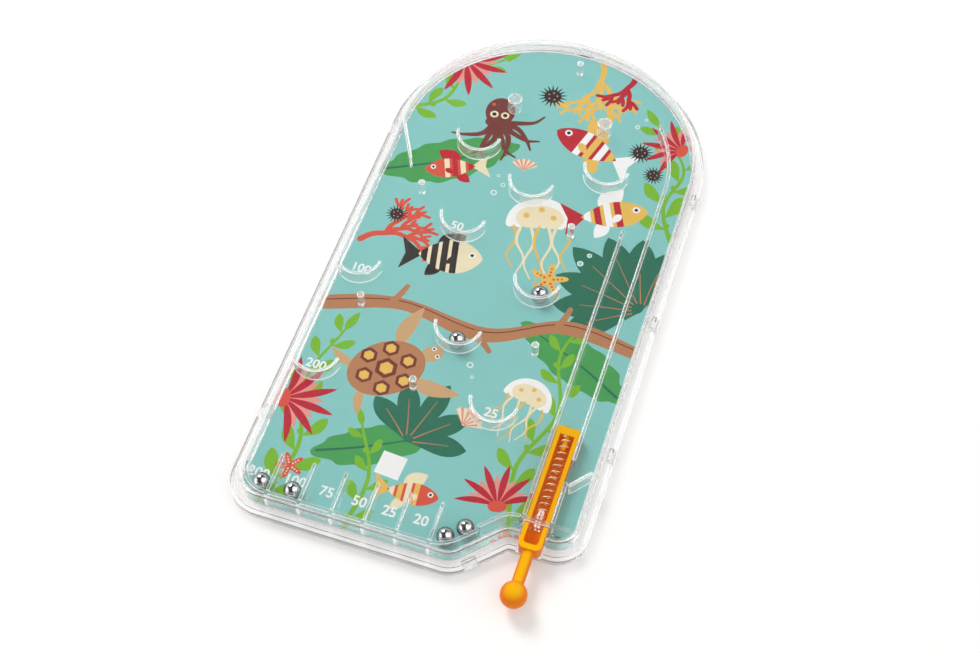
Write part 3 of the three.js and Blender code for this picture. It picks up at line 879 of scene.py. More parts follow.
@dataclass
class Case:
    """Clear cover and clear tray, snapped together at clips."""

    outline: CaseOutline
    seat_z: float
    top_z: float
    rim_z: float
    mouth_back_y: float
    play: float = 0.2
    wall: float = 1.5
    roof: float = 1.6
    flange: float = 5.0
    rim: float = 1.8
    floor: float = 2.0
    seam: float = 0.03
    edge: float = 2.0
    root_round: float = 0.5
    brim_round: float = 0.3
    seat_round: float = 0.2
    base_round: float = 1.0
    brow_round: float = 0.6
    lip_round: float = 0.4
    rim_lap: float = 0.7
    rim_lean: float = 0.8
    clip_length: float = 6.0
    clip_thickness: float = 1.2
    clip_inset: float = 0.4
    clip_play: float = 0.3
    tab_drop: float = 0.2
    hook: float = 0.7
    hook_play: float = 0.2
    hook_lap: float = 0.1
    hook_z: Level = (0.3, 1.0)
    pocket_z: float = 1.3
    right_clips: tuple[float, ...] = (0.504, -0.013, -0.518)
    left_clips: tuple[float, ...] = (0.491, -0.706)
    notch_clip: float = 7.0
    mouth: Level = (52.25, 64.25)

    def clips(self) -> list[tuple[complex, float]]:
        """The clips: a point on the card's edge and the outward angle in degrees.

        Returns:
            A pair for each clip.
        """
        o = self.outline
        clips = [(complex(o.half_width, o.half_length * share), 0.0) for share in self.right_clips]
        clips += [(complex(-o.half_width, o.half_length * share), 180.0) for share in self.left_clips]
        slant = complex(o.toe_x, -o.half_length) + self.notch_clip * np.exp(1j * o.notch_angle)
        return [*clips, (complex(0, o.half_length), 90.0), (slant, math.degrees(o.notch_angle) - 90)]

    def clip_blocks(self, reach: Level, length: float, z: Level) -> list[Thing]:
        """One block at each clip, set out from the card's edge."""
        plan = oblong(reach, (-length / 2, length / 2))
        return [Shape.prism("clip_block", turned(plan, place, angle), *z) for place, angle in self.clips()]

    @property
    def clip_reach(self) -> Level:
        """How far the clips' inner and outer faces stand from the card's edge."""
        outer = self.flange - self.clip_inset
        return outer - self.clip_thickness, outer

    def cover(self) -> Thing:
        """Dome with rounded edges, flange, clips and the plunger's mouth.

        Returns:
            The bare cover.
        """
        reach, seat, top, rim = self.play + self.wall, self.seat_z + self.seam, self.top_z, self.rim_z
        ceiling = top - self.roof
        root, brim, foot = self.root_round, self.brim_round, self.seat_round
        section = [
            *rounding((reach - self.edge, top - self.edge), self.edge, 90, 0, 10),
            *rounding((reach + root, rim + root), root, 180, 270, 4),
            *rounding((self.flange - brim, rim - brim), brim, 90, 0, 3),
            *rounding((self.flange - foot, seat + foot), foot, 0, -90, 2),
            *rounding((self.play + foot, seat + foot), foot, -90, -180, 2),
            *rounding((self.play - brim, ceiling - brim), brim, 0, 90, 3),
        ]
        cover = self.outline.body("clear_cover", section)
        inner, outer = self.clip_reach
        length, hook_z = self.clip_length, self.hook_z
        windows = self.clip_blocks((outer, outer + OVERRUN), length, (seat - OVERRUN, rim + OVERRUN))
        Shape.cut(cover, *windows)
        Shape.join(cover, *self.clip_blocks((inner, outer), length, (hook_z[0], rim - self.tab_drop)))
        hooks = self.clip_blocks((inner + self.hook_lap, outer + self.hook), length - self.hook_play, hook_z)
        Shape.join(cover, *hooks)
        low, high = self.mouth
        front = self.outline.heel_y - self.flange - OVERRUN
        mouth = Shape.block("mouth", (low, front, seat - OVERRUN), (high, self.mouth_back_y, top + OVERRUN))
        return Shape.polish(Shape.cut(cover, mouth))

    def paint_mouth_highlight(self, cover: Thing) -> None:
        """Gives the cut faces of the plunger's mouth a painted highlight, a milky and faintly glowing
        finish.

        Args:
            cover: The dressed cover.
        """
        highlight_slot = len(cover.data.materials)
        cover.data.materials.append(PAINTED_HIGHLIGHT_PLASTIC.material())
        low, high = self.mouth
        for face in cover.data.polygons:
            x, y, _ = face.center / MM
            at_back = abs(face.normal.y) > SQUARE_ON and abs(y - self.mouth_back_y) < self.seam
            at_side = abs(face.normal.x) > SQUARE_ON and min(abs(x - low), abs(x - high)) < self.seam
            if (at_back or at_side) and low - CLEARANCE < x < high + CLEARANCE:
                face.material_index = highlight_slot

    def tray(self) -> Thing:
        """Floor, card recess and raised rim, with slots and pockets for the clips.

        Returns:
            The bare tray.
        """
        inside = self.flange + self.play
        outside = inside + self.rim
        base, brow, lip, seat = self.base_round, self.brow_round, self.lip_round, self.seat_round
        section = [
            *rounding((outside - base, base), base, -90, 0),
            *rounding((outside - brow, self.rim_z - brow), brow, 0, 90),
            *rounding((inside + lip, self.rim_z - lip), lip, 90, 180, 4),
            (inside, self.seat_z),
            *rounding((self.play + seat, self.seat_z - seat), seat, 90, 180, 2),
            (self.play, self.floor),
        ]
        tray = self.outline.body("clear_tray", section)
        near, far = self.clip_reach[0] - self.clip_play, self.clip_reach[1] + self.clip_play
        length = self.clip_length + self.clip_play * 2
        Shape.cut(tray, *self.clip_blocks((near, far), length, (-OVERRUN, self.seat_z + OVERRUN)))
        Shape.cut(tray, *self.clip_blocks((near, far + self.hook), length, (-OVERRUN, self.pocket_z)))
        low, high = self.mouth
        heel = self.outline.heel_y
        top = self.rim_z + OVERRUN
        mouth = Shape.block("mouth", (low, heel - outside - OVERRUN, self.seat_z), (high, heel, top))
        return Shape.polish(Shape.cut(tray, mouth))

    def grey_outside(self, tray: Thing) -> None:
        """Gives the upright outer faces of the tray's rim painted shade, a grey tint that darkens them, with
        a faint painted glow.

        Args:
            tray: The dressed tray.
        """
        tray.data.materials.append(PAINTED_SHADE_RIM_PLASTIC.material())
        faces = tray.data.polygons
        middles = np.array([complex(*face.center[:2]) for face in faces]) / MM
        within = winds_round(self.outline.ring(self.flange + self.play + self.rim - self.rim_lap), middles)
        for face, inside in zip(faces, within):
            if not inside and abs(face.normal.z) < self.rim_lean:
                face.material_index = 1

    def build(self) -> None:
        """Makes and fits both shells."""
        cover = COVER_PLASTIC.dress(self.cover())
        finish_edges(cover, BEND_PLASTIC, self.top_z - self.edge)
        self.paint_mouth_highlight(cover)
        install(cover, CASE, ["top_cover"])
        tray = TRAY_PLASTIC.dress(self.tray())
        self.grey_outside(tray)
        install(tray, CASE, ["base_tray"])


class NodeGroup:
    """A geometry node group that makes the mesh of a piece."""

    def __init__(self, name: str, inputs: Sequence[tuple[str, str]]) -> None:
        """Starts a group.

        Args:
            name: Name of the group.
            inputs: Names and kinds of its inputs, the geometry first.
        """
        self.tree = bpy.data.node_groups.new(name, "GeometryNodeTree")
        self.graph = Graph(self.tree)
        for label, kind in (*inputs, ("Finish", "Material")):
            self.tree.interface.new_socket(label, in_out="INPUT", socket_type=f"NodeSocket{kind}")
        self.tree.interface.new_socket("Piece", in_out="OUTPUT", socket_type="NodeSocketGeometry")
        self.given = self.graph.add("NodeGroupInput").outputs

    def end(self, geometry: Socket) -> None:
        """Makes copies real, sets the finish and ends the group.

        Args:
            geometry: What the group has made.
        """
        real = self.graph.add("GeometryNodeRealizeInstances", Geometry=geometry).outputs[0]
        finished = self.graph.add("GeometryNodeSetMaterial", Geometry=real, Material=self.given["Finish"])
        self.graph.add("NodeGroupOutput", Piece=finished.outputs[0])

    def run(self, mesh: bpy.types.Mesh, values: dict[str, object]) -> Thing:
        """Runs the group.

        Args:
            mesh: The mesh that it starts from.
            values: A value for each input but the first.

        Returns:
            The result as a plain mesh, on an object of the first mesh's name.
        """
        thing = Shape.place(mesh.name, mesh)
        step = thing.modifiers.new("nodes", "NODES")
        step.node_group = self.tree
        sockets = {s.name: s.identifier for s in self.tree.interface.items_tree if s.in_out == "INPUT"}
        for label, value in values.items():
            step[sockets[label]] = value
        return Shape.settle(thing)


class RepeatTree(NodeGroup):
    """Geometry nodes that set one feature at each point of a mesh."""

    def __init__(self) -> None:
        """Builds the group."""
        super().__init__("set_at_points", [("Places", "Geometry"), ("Feature", "Object")])
        add, given = self.graph.add, self.given
        feature = add("GeometryNodeObjectInfo", Object=given["Feature"]).outputs["Geometry"]
        self.end(add("GeometryNodeInstanceOnPoints", Points=given["Places"], Instance=feature).outputs[0])

    def repeat(self, name: str, feature: Thing, places: Sequence[complex], finish: Finish) -> Thing:
        """Sets copies of a feature at places seen from above.

        Args:
            name: Name of the new piece.
            feature: The feature, made round the origin; it is used up.
            places: Where the copies go.
            finish: Their finish.

        Returns:
            One plain mesh with all the copies.
        """
        mesh = bpy.data.meshes.new(name)
        mesh.from_pydata([(p.real * MM, p.imag * MM, 0) for p in places], [], [])
        thing = self.run(mesh, {"Feature": feature, "Finish": finish.material()})
        bpy.data.objects.remove(feature)
        return thing


@dataclass
class Playfield:
    """Cups, pins, posts, dividers, rails and walls that hang from the cover."""

    outline: CaseOutline
    foot_z: float
    top_z: float
    lane_x: float
    cup_radius: float = 12.0
    cup_wall: float = 1.6
    cup_half_angle: float = 82.0
    wall: float = 1.6
    rail: float = 1.8
    post_wall: float = 1.3
    corner: float = 11.2
    bowl: float = 18.0
    divider_from_bowl: float = 1.14
    ramp_bend: float = 10.9
    arch_rail: float = 65.7
    arch_rail_from: float = 0.471
    arch_rail_angle: float = 35.8
    gap: float = 0.3
    seam: float = 0.02
    edge_play: float = 0.1
    lane_end_y: float = -122.1
    portal: float = 5.8
    bridge: float = 1.4
    spring_seat_z: float = 5.1
    spring_seat_seam: float = 0.01
    pin_radius: float = 1.4
    pin_root: float = 0.5
    pin_round: float = 0.4
    softness: float = 0.2
    bright_from: float = 1.0
    cup_steps: int = 64
    pin_steps: int = 32
    post_steps: int = 48
    corner_steps: int = 24
    bowl_steps: int = 30
    ramp_steps: int = 12
    rail_steps: int = 48
    cup_nodes: tuple[str, ...] = tuple(f"cup_{i}" for i in range(1, 8))
    pin_nodes: tuple[str, ...] = tuple(f"pin_{i}" for i in range(1, 7))
    post_nodes: tuple[str, ...] = ("ring_post_1", "ring_post_2")
    divider_nodes: tuple[str, ...] = tuple(f"slot_divider_{i}" for i in range(1, 7))

    @property
    def head_z(self) -> float:
        """Height of the features' tops, a hair under the cover's ceiling."""
        return self.top_z - self.seam

    def raised(self, name: str, plan: Plan) -> Thing:
        """A feature of the full height on a plan."""
        return Shape.upright(name, plan, self.foot_z, self.head_z)

    def fit(
        self, piece: Thing, *nodes: str, finish: Finish = WALL_PLASTIC, beyond_y: float = -math.inf
    ) -> None:
        """Shades, dresses and fits a feature, whose rounded edges get a painted highlight.

        Args:
            piece: The body of the feature.
            *nodes: The CAD nodes that it stands for.
            finish: Its finish.
            beyond_y: Y below which every face gets the painted highlight.
        """
        finish.dress(Shape.polish(piece))
        # Painted highlight on leaning faces: on cups and pins all of them, on walls only those above the
        # foot.
        above_z = self.foot_z + self.bright_from if finish is WALL_PLASTIC else 0.0
        finish_edges(piece, PAINTED_HIGHLIGHT_PLASTIC, above_z, beyond_y)
        install(piece, CASE, nodes)

    def cup_plan(self, centre: complex) -> Plan:
        """Outline of a crescent cup.

        Args:
            centre: Centre of the cup's circle.

        Returns:
            The closed outline.
        """
        middle, half = self.cup_radius - self.cup_wall / 2, self.cup_half_angle
        path = arc(centre, middle, -90 - half, -90 + half, self.cup_steps)
        return stroke(path, self.cup_wall)

    def inside(self, thing: Thing) -> Thing:
        """Trims a feature to the space inside the cover's wall."""
        space = Shape.prism("space", self.outline.ring(-self.edge_play), 0.0, self.top_z * 2)
        return Shape.combine(thing, [space], "INTERSECT")

    def repeated(self) -> None:
        """Cups, pins and dividers, each set out by geometry nodes."""
        rows = RepeatTree()
        boxes = [Box.of(node) for node in self.cup_nodes]
        cups = [complex(box.middle.x, box.low.y + self.cup_radius) for box in boxes]
        cup = self.raised("cup", self.cup_plan(0))
        self.fit(rows.repeat("catch_cups", cup, cups, CUP_PLASTIC), *self.cup_nodes, finish=CUP_PLASTIC)
        pins = [Box.of(node).plan_middle for node in self.pin_nodes]
        pin = self.raised("pin", circle(0, Box.of(self.pin_nodes[0]).half(1), self.pin_steps))
        self.fit(rows.repeat("guide_pins", pin, pins, CUP_PLASTIC), *self.pin_nodes, finish=CUP_PLASTIC)
        first = Box.of(self.divider_nodes[0])
        path = np.array([1j * first.low.y, 1j * (first.high.y - self.wall / 2)])
        divider = self.raised("divider", stroke(path, self.wall, round_start=False))
        places = [complex(Box.of(node).middle.x, 0) for node in self.divider_nodes]
        dividers = rows.repeat("score_dividers", divider, places, WALL_PLASTIC)
        # The dividers' near ends get the painted highlight too.
        self.fit(dividers, *self.divider_nodes, beyond_y=first.low.y + self.seam)

    def posts(self) -> None:
        """Two ring posts with an open middle."""
        for number, node in enumerate(self.post_nodes, 1):
            box = Box.of(node)
            plan = circle(box.plan_middle, box.half(), self.post_steps)
            bore = circle(box.plan_middle, box.half() - self.post_wall, self.post_steps)
            post = self.raised(f"ring_pillar_{number}", plan)
            tool = Shape.prism("bore", bore, self.foot_z - CLEARANCE, self.head_z - self.seam)
            self.fit(Shape.cut(post, tool), node, finish=CUP_PLASTIC)

    def side_cups(self) -> None:
        """Two cups cut off by the left wall."""
        half = Box.of(self.cup_nodes[0]).half()
        for number in (1, 2):
            box = Box.of(f"wall_cup_{number}")
            plan = self.cup_plan(complex(box.high.x - half, box.low.y + self.cup_radius))
            cup = self.inside(self.raised(f"side_cup_{number}", plan))
            self.fit(cup, f"wall_cup_{number}", finish=CUP_PLASTIC)

    def lower_walls(self) -> None:
        """Wall under the slots with its ribs, and the ramp beside it."""
        middle = self.wall / 2
        box = Box.of("bottom_wall")
        bottom = Box.of(self.divider_nodes[0]).low.y - self.gap
        corner_at = complex(box.low.x + self.wall + self.corner, bottom + self.corner)
        bowl_x = Box.of(self.divider_nodes[-1]).middle.x - self.divider_from_bowl
        bend = arc(complex(bowl_x, bottom + self.bowl), self.bowl + middle, -90, -45, self.bowl_steps)
        lip = complex(box.high.x - middle, 0)
        lip += 1j * (bend[-1].imag + lip.real - bend[-1].real)
        corner = arc(corner_at, self.corner + middle, 180, 270, self.corner_steps)
        path = np.concatenate([corner, bend, [lip]])
        wall = self.raised("lower_wall", stroke(path, self.wall))
        edge = -self.outline.half_length + self.edge_play
        ribs = []
        for node in self.divider_nodes:
            x = Box.of(node).middle.x
            low, high = (x - middle, edge, self.foot_z), (x + middle, bottom - middle, self.head_z)
            ribs.append(Shape.block("rib", low, high))
        # The ribs' near ends get the painted highlight too.
        self.fit(Shape.join(wall, *ribs), "bottom_wall", beyond_y=edge + self.edge_play / 2)
        ramp = Box.of("return_ramp")
        start = complex(ramp.low.x + middle, ramp.low.y + middle)
        end = complex(ramp.high.x - middle, ramp.high.y - middle)
        top = complex(start.real + end.imag - start.imag, end.imag)
        bend = fillet(start, top, end, self.ramp_bend, self.ramp_steps)
        self.fit_wall("ball_ramp", "return_ramp", [start, *bend, end], self.wall)

    def fit_wall(
        self,
        name: str,
        node: str,
        path: Sequence[complex],
        width: float,
        round_start: bool = True,
        finish: Finish = WALL_PLASTIC,
    ) -> None:
        """Makes and fits one wall along a path."""
        self.fit(self.raised(name, stroke(np.array(path), width, round_start)), node, finish=finish)

    def rails(self) -> None:
        """Rails of the two lanes and the slanted bars at their sides."""
        half, inset = self.rail / 2, self.wall / 2
        for name, node in (("left_lane_rail", "lane_rail_left"), ("gate_guide", "gate_rail")):
            box = Box.of(node)
            x = box.middle.x
            path = [complex(x, box.low.y), complex(x, box.high.y - half)]
            self.fit_wall(name, node, path, self.rail, round_start=False)
        centre = complex(x - self.arch_rail, self.outline.half_length * self.arch_rail_from)
        foot = complex(x, Box.of("lane_rail_right").low.y + half)
        path = [foot, *arc(centre, self.arch_rail, 0, self.arch_rail_angle, self.rail_steps)]
        self.fit_wall("right_lane_rail", "lane_rail_right", path, self.rail)
        for name, node, rising in (("feed_guide", "feed_bar", 1), ("deflector_guide", "deflector_bar", -1)):
            box = Box.of(node)
            left, right = (box.low.y + inset, box.high.y - inset)[::rising]
            path = [complex(box.low.x + inset, left), complex(box.high.x - inset, right)]
            self.fit_wall(name, node, path, self.wall, finish=CUP_PLASTIC)

    def end_wall(self) -> None:
        """Wall that closes the lanes, with a bridge, the spring's seat and its pin."""
        box, spring = Box.of("end_wall"), Box.of("plunger_spring")
        front, back, head = box.low.y, self.lane_end_y, self.head_z
        x, door, seat, seam = self.lane_x, self.portal, spring.half(), self.spring_seat_seam
        side = self.outline.half_width + OVERRUN
        wall = Shape.block("lane_end", (box.low.x, front, self.foot_z), (side, back, head))
        arch = (x + door, back + OVERRUN, self.top_z - self.bridge)
        wall = self.inside(Shape.cut(wall, Shape.block("portal", (x - door, front - OVERRUN, 0), arch)))
        low, high = (x - seat, front + seam, self.spring_seat_z), (x + seat, back - seam, head - seam)
        wall = Shape.soften(Shape.join(wall, Shape.block("seat", low, high)), self.softness)
        r, turn, root, tip = self.pin_radius, self.pin_round, front + self.pin_root, box.high.y
        slope = [(r - turn + turn * c, tip - turn + turn * s) for c, s in ((1, 0), (0.7, 0.7))]
        profile = [(0, root), (r, root), *slope, (r - turn, tip), (0, tip)]
        pin = Shape.lathe("seat_pin", profile, (x, spring.middle.z), self.corner_steps)
        self.fit(Shape.join(wall, pin), "end_wall")

    def build(self) -> None:
        """Makes and fits every feature."""
        self.repeated()
        self.posts()
        self.side_cups()
        self.lower_walls()
        self.rails()
        self.end_wall()


@dataclass
class Plunger:
    """One yellow moulding: open frame, stop block, rod and knob."""

    foot_z: float
    wall_face_y: float = -124.6
    width: float = 10.6
    frame_top_z: float = 10.6
    block_top_z: float = 11.9
    floor: float = 1.0
    side: float = 1.9
    crossbar: float = 4.0
    block_length: float = 12.0
    block_front: float = 2.6
    block_corner: float = 3.0
    recess_corner: float = 1.6
    rod_radius: float = 2.85
    knob_radius: float = 6.1
    neck: float = 1.6
    guide_radius: float = 1.4
    guide_length: float = 7.5
    guide_root: float = 1.5
    guide_round: float = 0.4
    lap: float = 0.5
    seam: float = 0.001
    softness: float = 0.35
    knob_steps: int = 40
    neck_steps: int = 8
    corner_steps: int = 8
    round_steps: int = 48
    guide_steps: int = 24

    def plan(self, x: Level, y: Level, radius: float) -> Plan:
        """A plan with square corners at the back and round ones at the front.

        Args:
            x: Range of X.
            y: Range of Y.
            radius: Radius of the round corners.

        Returns:
            The closed outline.
        """
        b, c, d, a = oblong(x, y)
        steps = self.corner_steps
        return np.concatenate([[a], fillet(a, b, c, radius, steps), fillet(b, c, d, radius, steps), [d]])

    def handle(self, front: float, box: Box, z: float) -> Thing:
        """Rod with a round knob, joined by a smooth neck.

        Args:
            front: Y of the stop block's front.
            box: The plunger's box.
            z: Height of the rod's line.

        Returns:
            The rod and its knob.
        """
        radius, neck = self.knob_radius, self.neck
        centre = box.low.y + radius
        meet = math.asin((self.rod_radius + neck) / (radius + neck))
        turn = np.linspace(0, math.pi - meet, self.knob_steps)
        knob = [(radius * math.sin(a), centre - radius * math.cos(a)) for a in turn]
        neck_x, neck_y = self.rod_radius + neck, centre + (radius + neck) * math.cos(meet)
        turn = np.linspace(math.pi / 2 - meet, 0, self.neck_steps)
        hollow = [(neck_x - neck * math.cos(a), neck_y - neck * math.sin(a)) for a in turn]
        end = front + self.block_front / 2
        profile = [*knob, *hollow, (self.rod_radius, end), (0, end)]
        return Shape.lathe("handle", profile, (box.middle.x, z), self.round_steps)

    def build(self) -> None:
        """Makes and fits the plunger."""
        box = Box.of("plunger")
        low, high = box.middle.x - self.width / 2, box.middle.x + self.width / 2
        foot, top, back, end = self.foot_z, self.block_top_z, self.wall_face_y, box.high.y
        front = back - self.block_length
        block = self.plan((low, high), (front, back + self.lap), self.block_corner)
        body = Shape.prism("yellow_plunger", block, foot, top)
        root = (low + self.seam, back, foot + self.seam)
        Shape.join(body, Shape.block("rails", root, (high - self.seam, end, self.frame_top_z)))
        over = (high + CLEARANCE, back + CLEARANCE, top + CLEARANCE)
        Shape.cut(body, Shape.block("step", (low - CLEARANCE, back, self.frame_top_z), over))
        y = (front + self.block_front, end - self.crossbar)
        hollow = self.plan((low + self.side, high - self.side), y, self.recess_corner)
        tool = Shape.prism("hollow", hollow, foot + self.floor, top + CLEARANCE)
        body = Shape.soften(Shape.cut(body, tool), self.softness)
        tip, root_y = y[1] - self.guide_length, end - self.guide_root
        r, turn = self.guide_radius, self.guide_round
        profile = [(0, tip), (r - turn, tip), (r, tip + turn), (r, root_y), (0, root_y)]
        line = (box.middle.x, Box.of("plunger_spring").middle.z)
        Shape.join(body, Shape.lathe("guide", profile, line, self.guide_steps))
        Shape.join(body, self.handle(front, box, (foot + top) / 2))
        install(PLUNGER_PLASTIC.dress(Shape.polish(body)), "plunger", ["plunger"])


@dataclass
class ReturnSpring:
    """Steel spring, wound by geometry nodes; on the real game it closes up as the plunger is pulled."""

    turns: int = 14
    wire: float = 0.7
    steps: int = 28
    sides: int = 10
    travel: float = 30.0
    closed: float = 0.03

    def group(self) -> NodeGroup:
        """Winds a wire round a line along Y, with a closed turn at each end.

        Returns:
            The finished group.
        """
        sizes = ("Radius", "Wire Radius", "Turns", "Low", "High", "Axis X", "Axis Z", "Closed")
        inputs = [("Geometry", "Geometry"), *((label, "Float") for label in sizes), ("Count", "Int")]
        group = NodeGroup("wind_spring", inputs)
        add, sums, given = group.graph.add, group.graph.math, group.given
        line = add("GeometryNodeCurvePrimitiveLine", Start=(0, 0, 0), End=(0, 1, 0)).outputs[0]
        dense = add("GeometryNodeResampleCurve", Curve=line, Count=given["Count"]).outputs[0]
        along = add("GeometryNodeSplineParameter").outputs["Factor"]
        angle = sums("MULTIPLY", sums("MULTIPLY", along, given["Turns"]), math.tau)
        x, z = (
            sums("ADD", sums("MULTIPLY", sums(wave, angle), given["Radius"]), given[axis])
            for wave, axis in (("SINE", "Axis X"), ("COSINE", "Axis Z"))
        )
        ends = (given["Closed"], sums("SUBTRACT", 1.0, given["Closed"]))
        span = sums("SUBTRACT", given["High"], given["Low"])
        y = sums("ADD", sums("MULTIPLY", group.graph.mapped(along, ends, UNIT), span), given["Low"])
        place = add("ShaderNodeCombineXYZ", X=x, Y=y, Z=z).outputs[0]
        wound = add("GeometryNodeSetPosition", Geometry=dense, Position=place).outputs[0]
        section = add("GeometryNodeCurvePrimitiveCircle", Resolution=self.sides, Radius=given["Wire Radius"])
        tube = add("GeometryNodeCurveToMesh", Curve=wound, Profile_Curve=section.outputs[0], Fill_Caps=True)
        group.end(add("GeometryNodeSetShadeSmooth", Geometry=tube.outputs[0]).outputs[0])
        return group

    def build(self) -> None:
        """Winds and fits the spring."""
        box = Box.of("plunger_spring")
        half = self.wire / 2
        sizes = {
            "Radius": box.half() - half,
            "Wire Radius": half,
            "Low": box.low.y + half,
            "High": box.high.y - half,
            "Axis X": box.middle.x,
            "Axis Z": box.middle.z,
        }
        values = {label: size * MM for label, size in sizes.items()}
        values |= {"Turns": float(self.turns), "Closed": self.closed, "Finish": SPRING_WIRE.material()}
        values["Count"] = self.turns * self.steps + 1
        thing = self.group().run(bpy.data.meshes.new("return_spring"), values)
        install(thing, CASE, ["plunger_spring"])
        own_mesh(thing)


@dataclass
class SteelBalls:
    """Six loose steel balls, each on a body of its own."""

    count: int = 6
    fineness: int = 5

    def build(self) -> None:
        """Makes and fits the balls."""
        for number in range(1, self.count + 1):
            node = f"steel_ball_{number}"
            box = Box.of(node)
            mesh = bpy.data.meshes.new(f"polished_ball_{number}")
            built = bmesh.new()
            bmesh.ops.create_icosphere(built, subdivisions=self.fineness, radius=box.half(2) * MM)
            bmesh.ops.translate(built, verts=built.verts, vec=box.middle * MM)
            built.to_mesh(mesh)
            built.free()
            thing = Shape.place(mesh.name, mesh)
            mesh.polygons.foreach_set("use_smooth", [True] * len(mesh.polygons))
            install(BALL_STEEL.dress(thing), node, [node])


@dataclass
class Patch:
    """One printed shape: an outline, its ink, and the patch that it must lie in, if any."""

    outline: Plan
    ink: Ink
    within: int | None = None


def disc(rx: float, ry: float | None = None, steps: int = 28) -> Plan:
    """An ellipse round the origin."""
    turn = circle(0, 1, steps)
    return rx * turn.real + 1j * (rx if ry is None else ry) * turn.imag


def blade(length: float, width: float, bend: float = 0.0, fullness: float = 0.8, steps: int = 12) -> Plan:
    """A leaf from the origin along +X, pointed at both ends, with its middle line bent sideways.

    Args:
        length: Its length.
        width: Its greatest width.
        bend: How far the tip stands aside, as a share of the length.
        fullness: Above 1, the widest place lies nearer the tip.
        steps: Chords along each side.

    Returns:
        The closed outline.
    """
    t = np.linspace(0, 1, steps + 1)
    half = width / 2 * np.sin(np.pi * t**fullness) ** 0.8
    line = length * t + 1j * bend * length * t**2
    return np.concatenate([line - 1j * half, (line + 1j * half)[-2:0:-1]])


def petals(count: int, inner: float, outer: float, sharpness: float, steps: int = 10) -> Plan:
    """A star with soft or sharp arms.

    Args:
        count: Number of arms.
        inner: Radius between the arms.
        outer: Radius at their tips.
        sharpness: How narrow the arms are.
        steps: Chords of each arm.

    Returns:
        The closed outline.
    """
    angle = np.linspace(0, 2 * np.pi, count * steps, endpoint=False)
    reach = inner + (outer - inner) * ((1 + np.cos(count * angle)) / 2) ** sharpness
    return reach * np.exp(1j * angle)


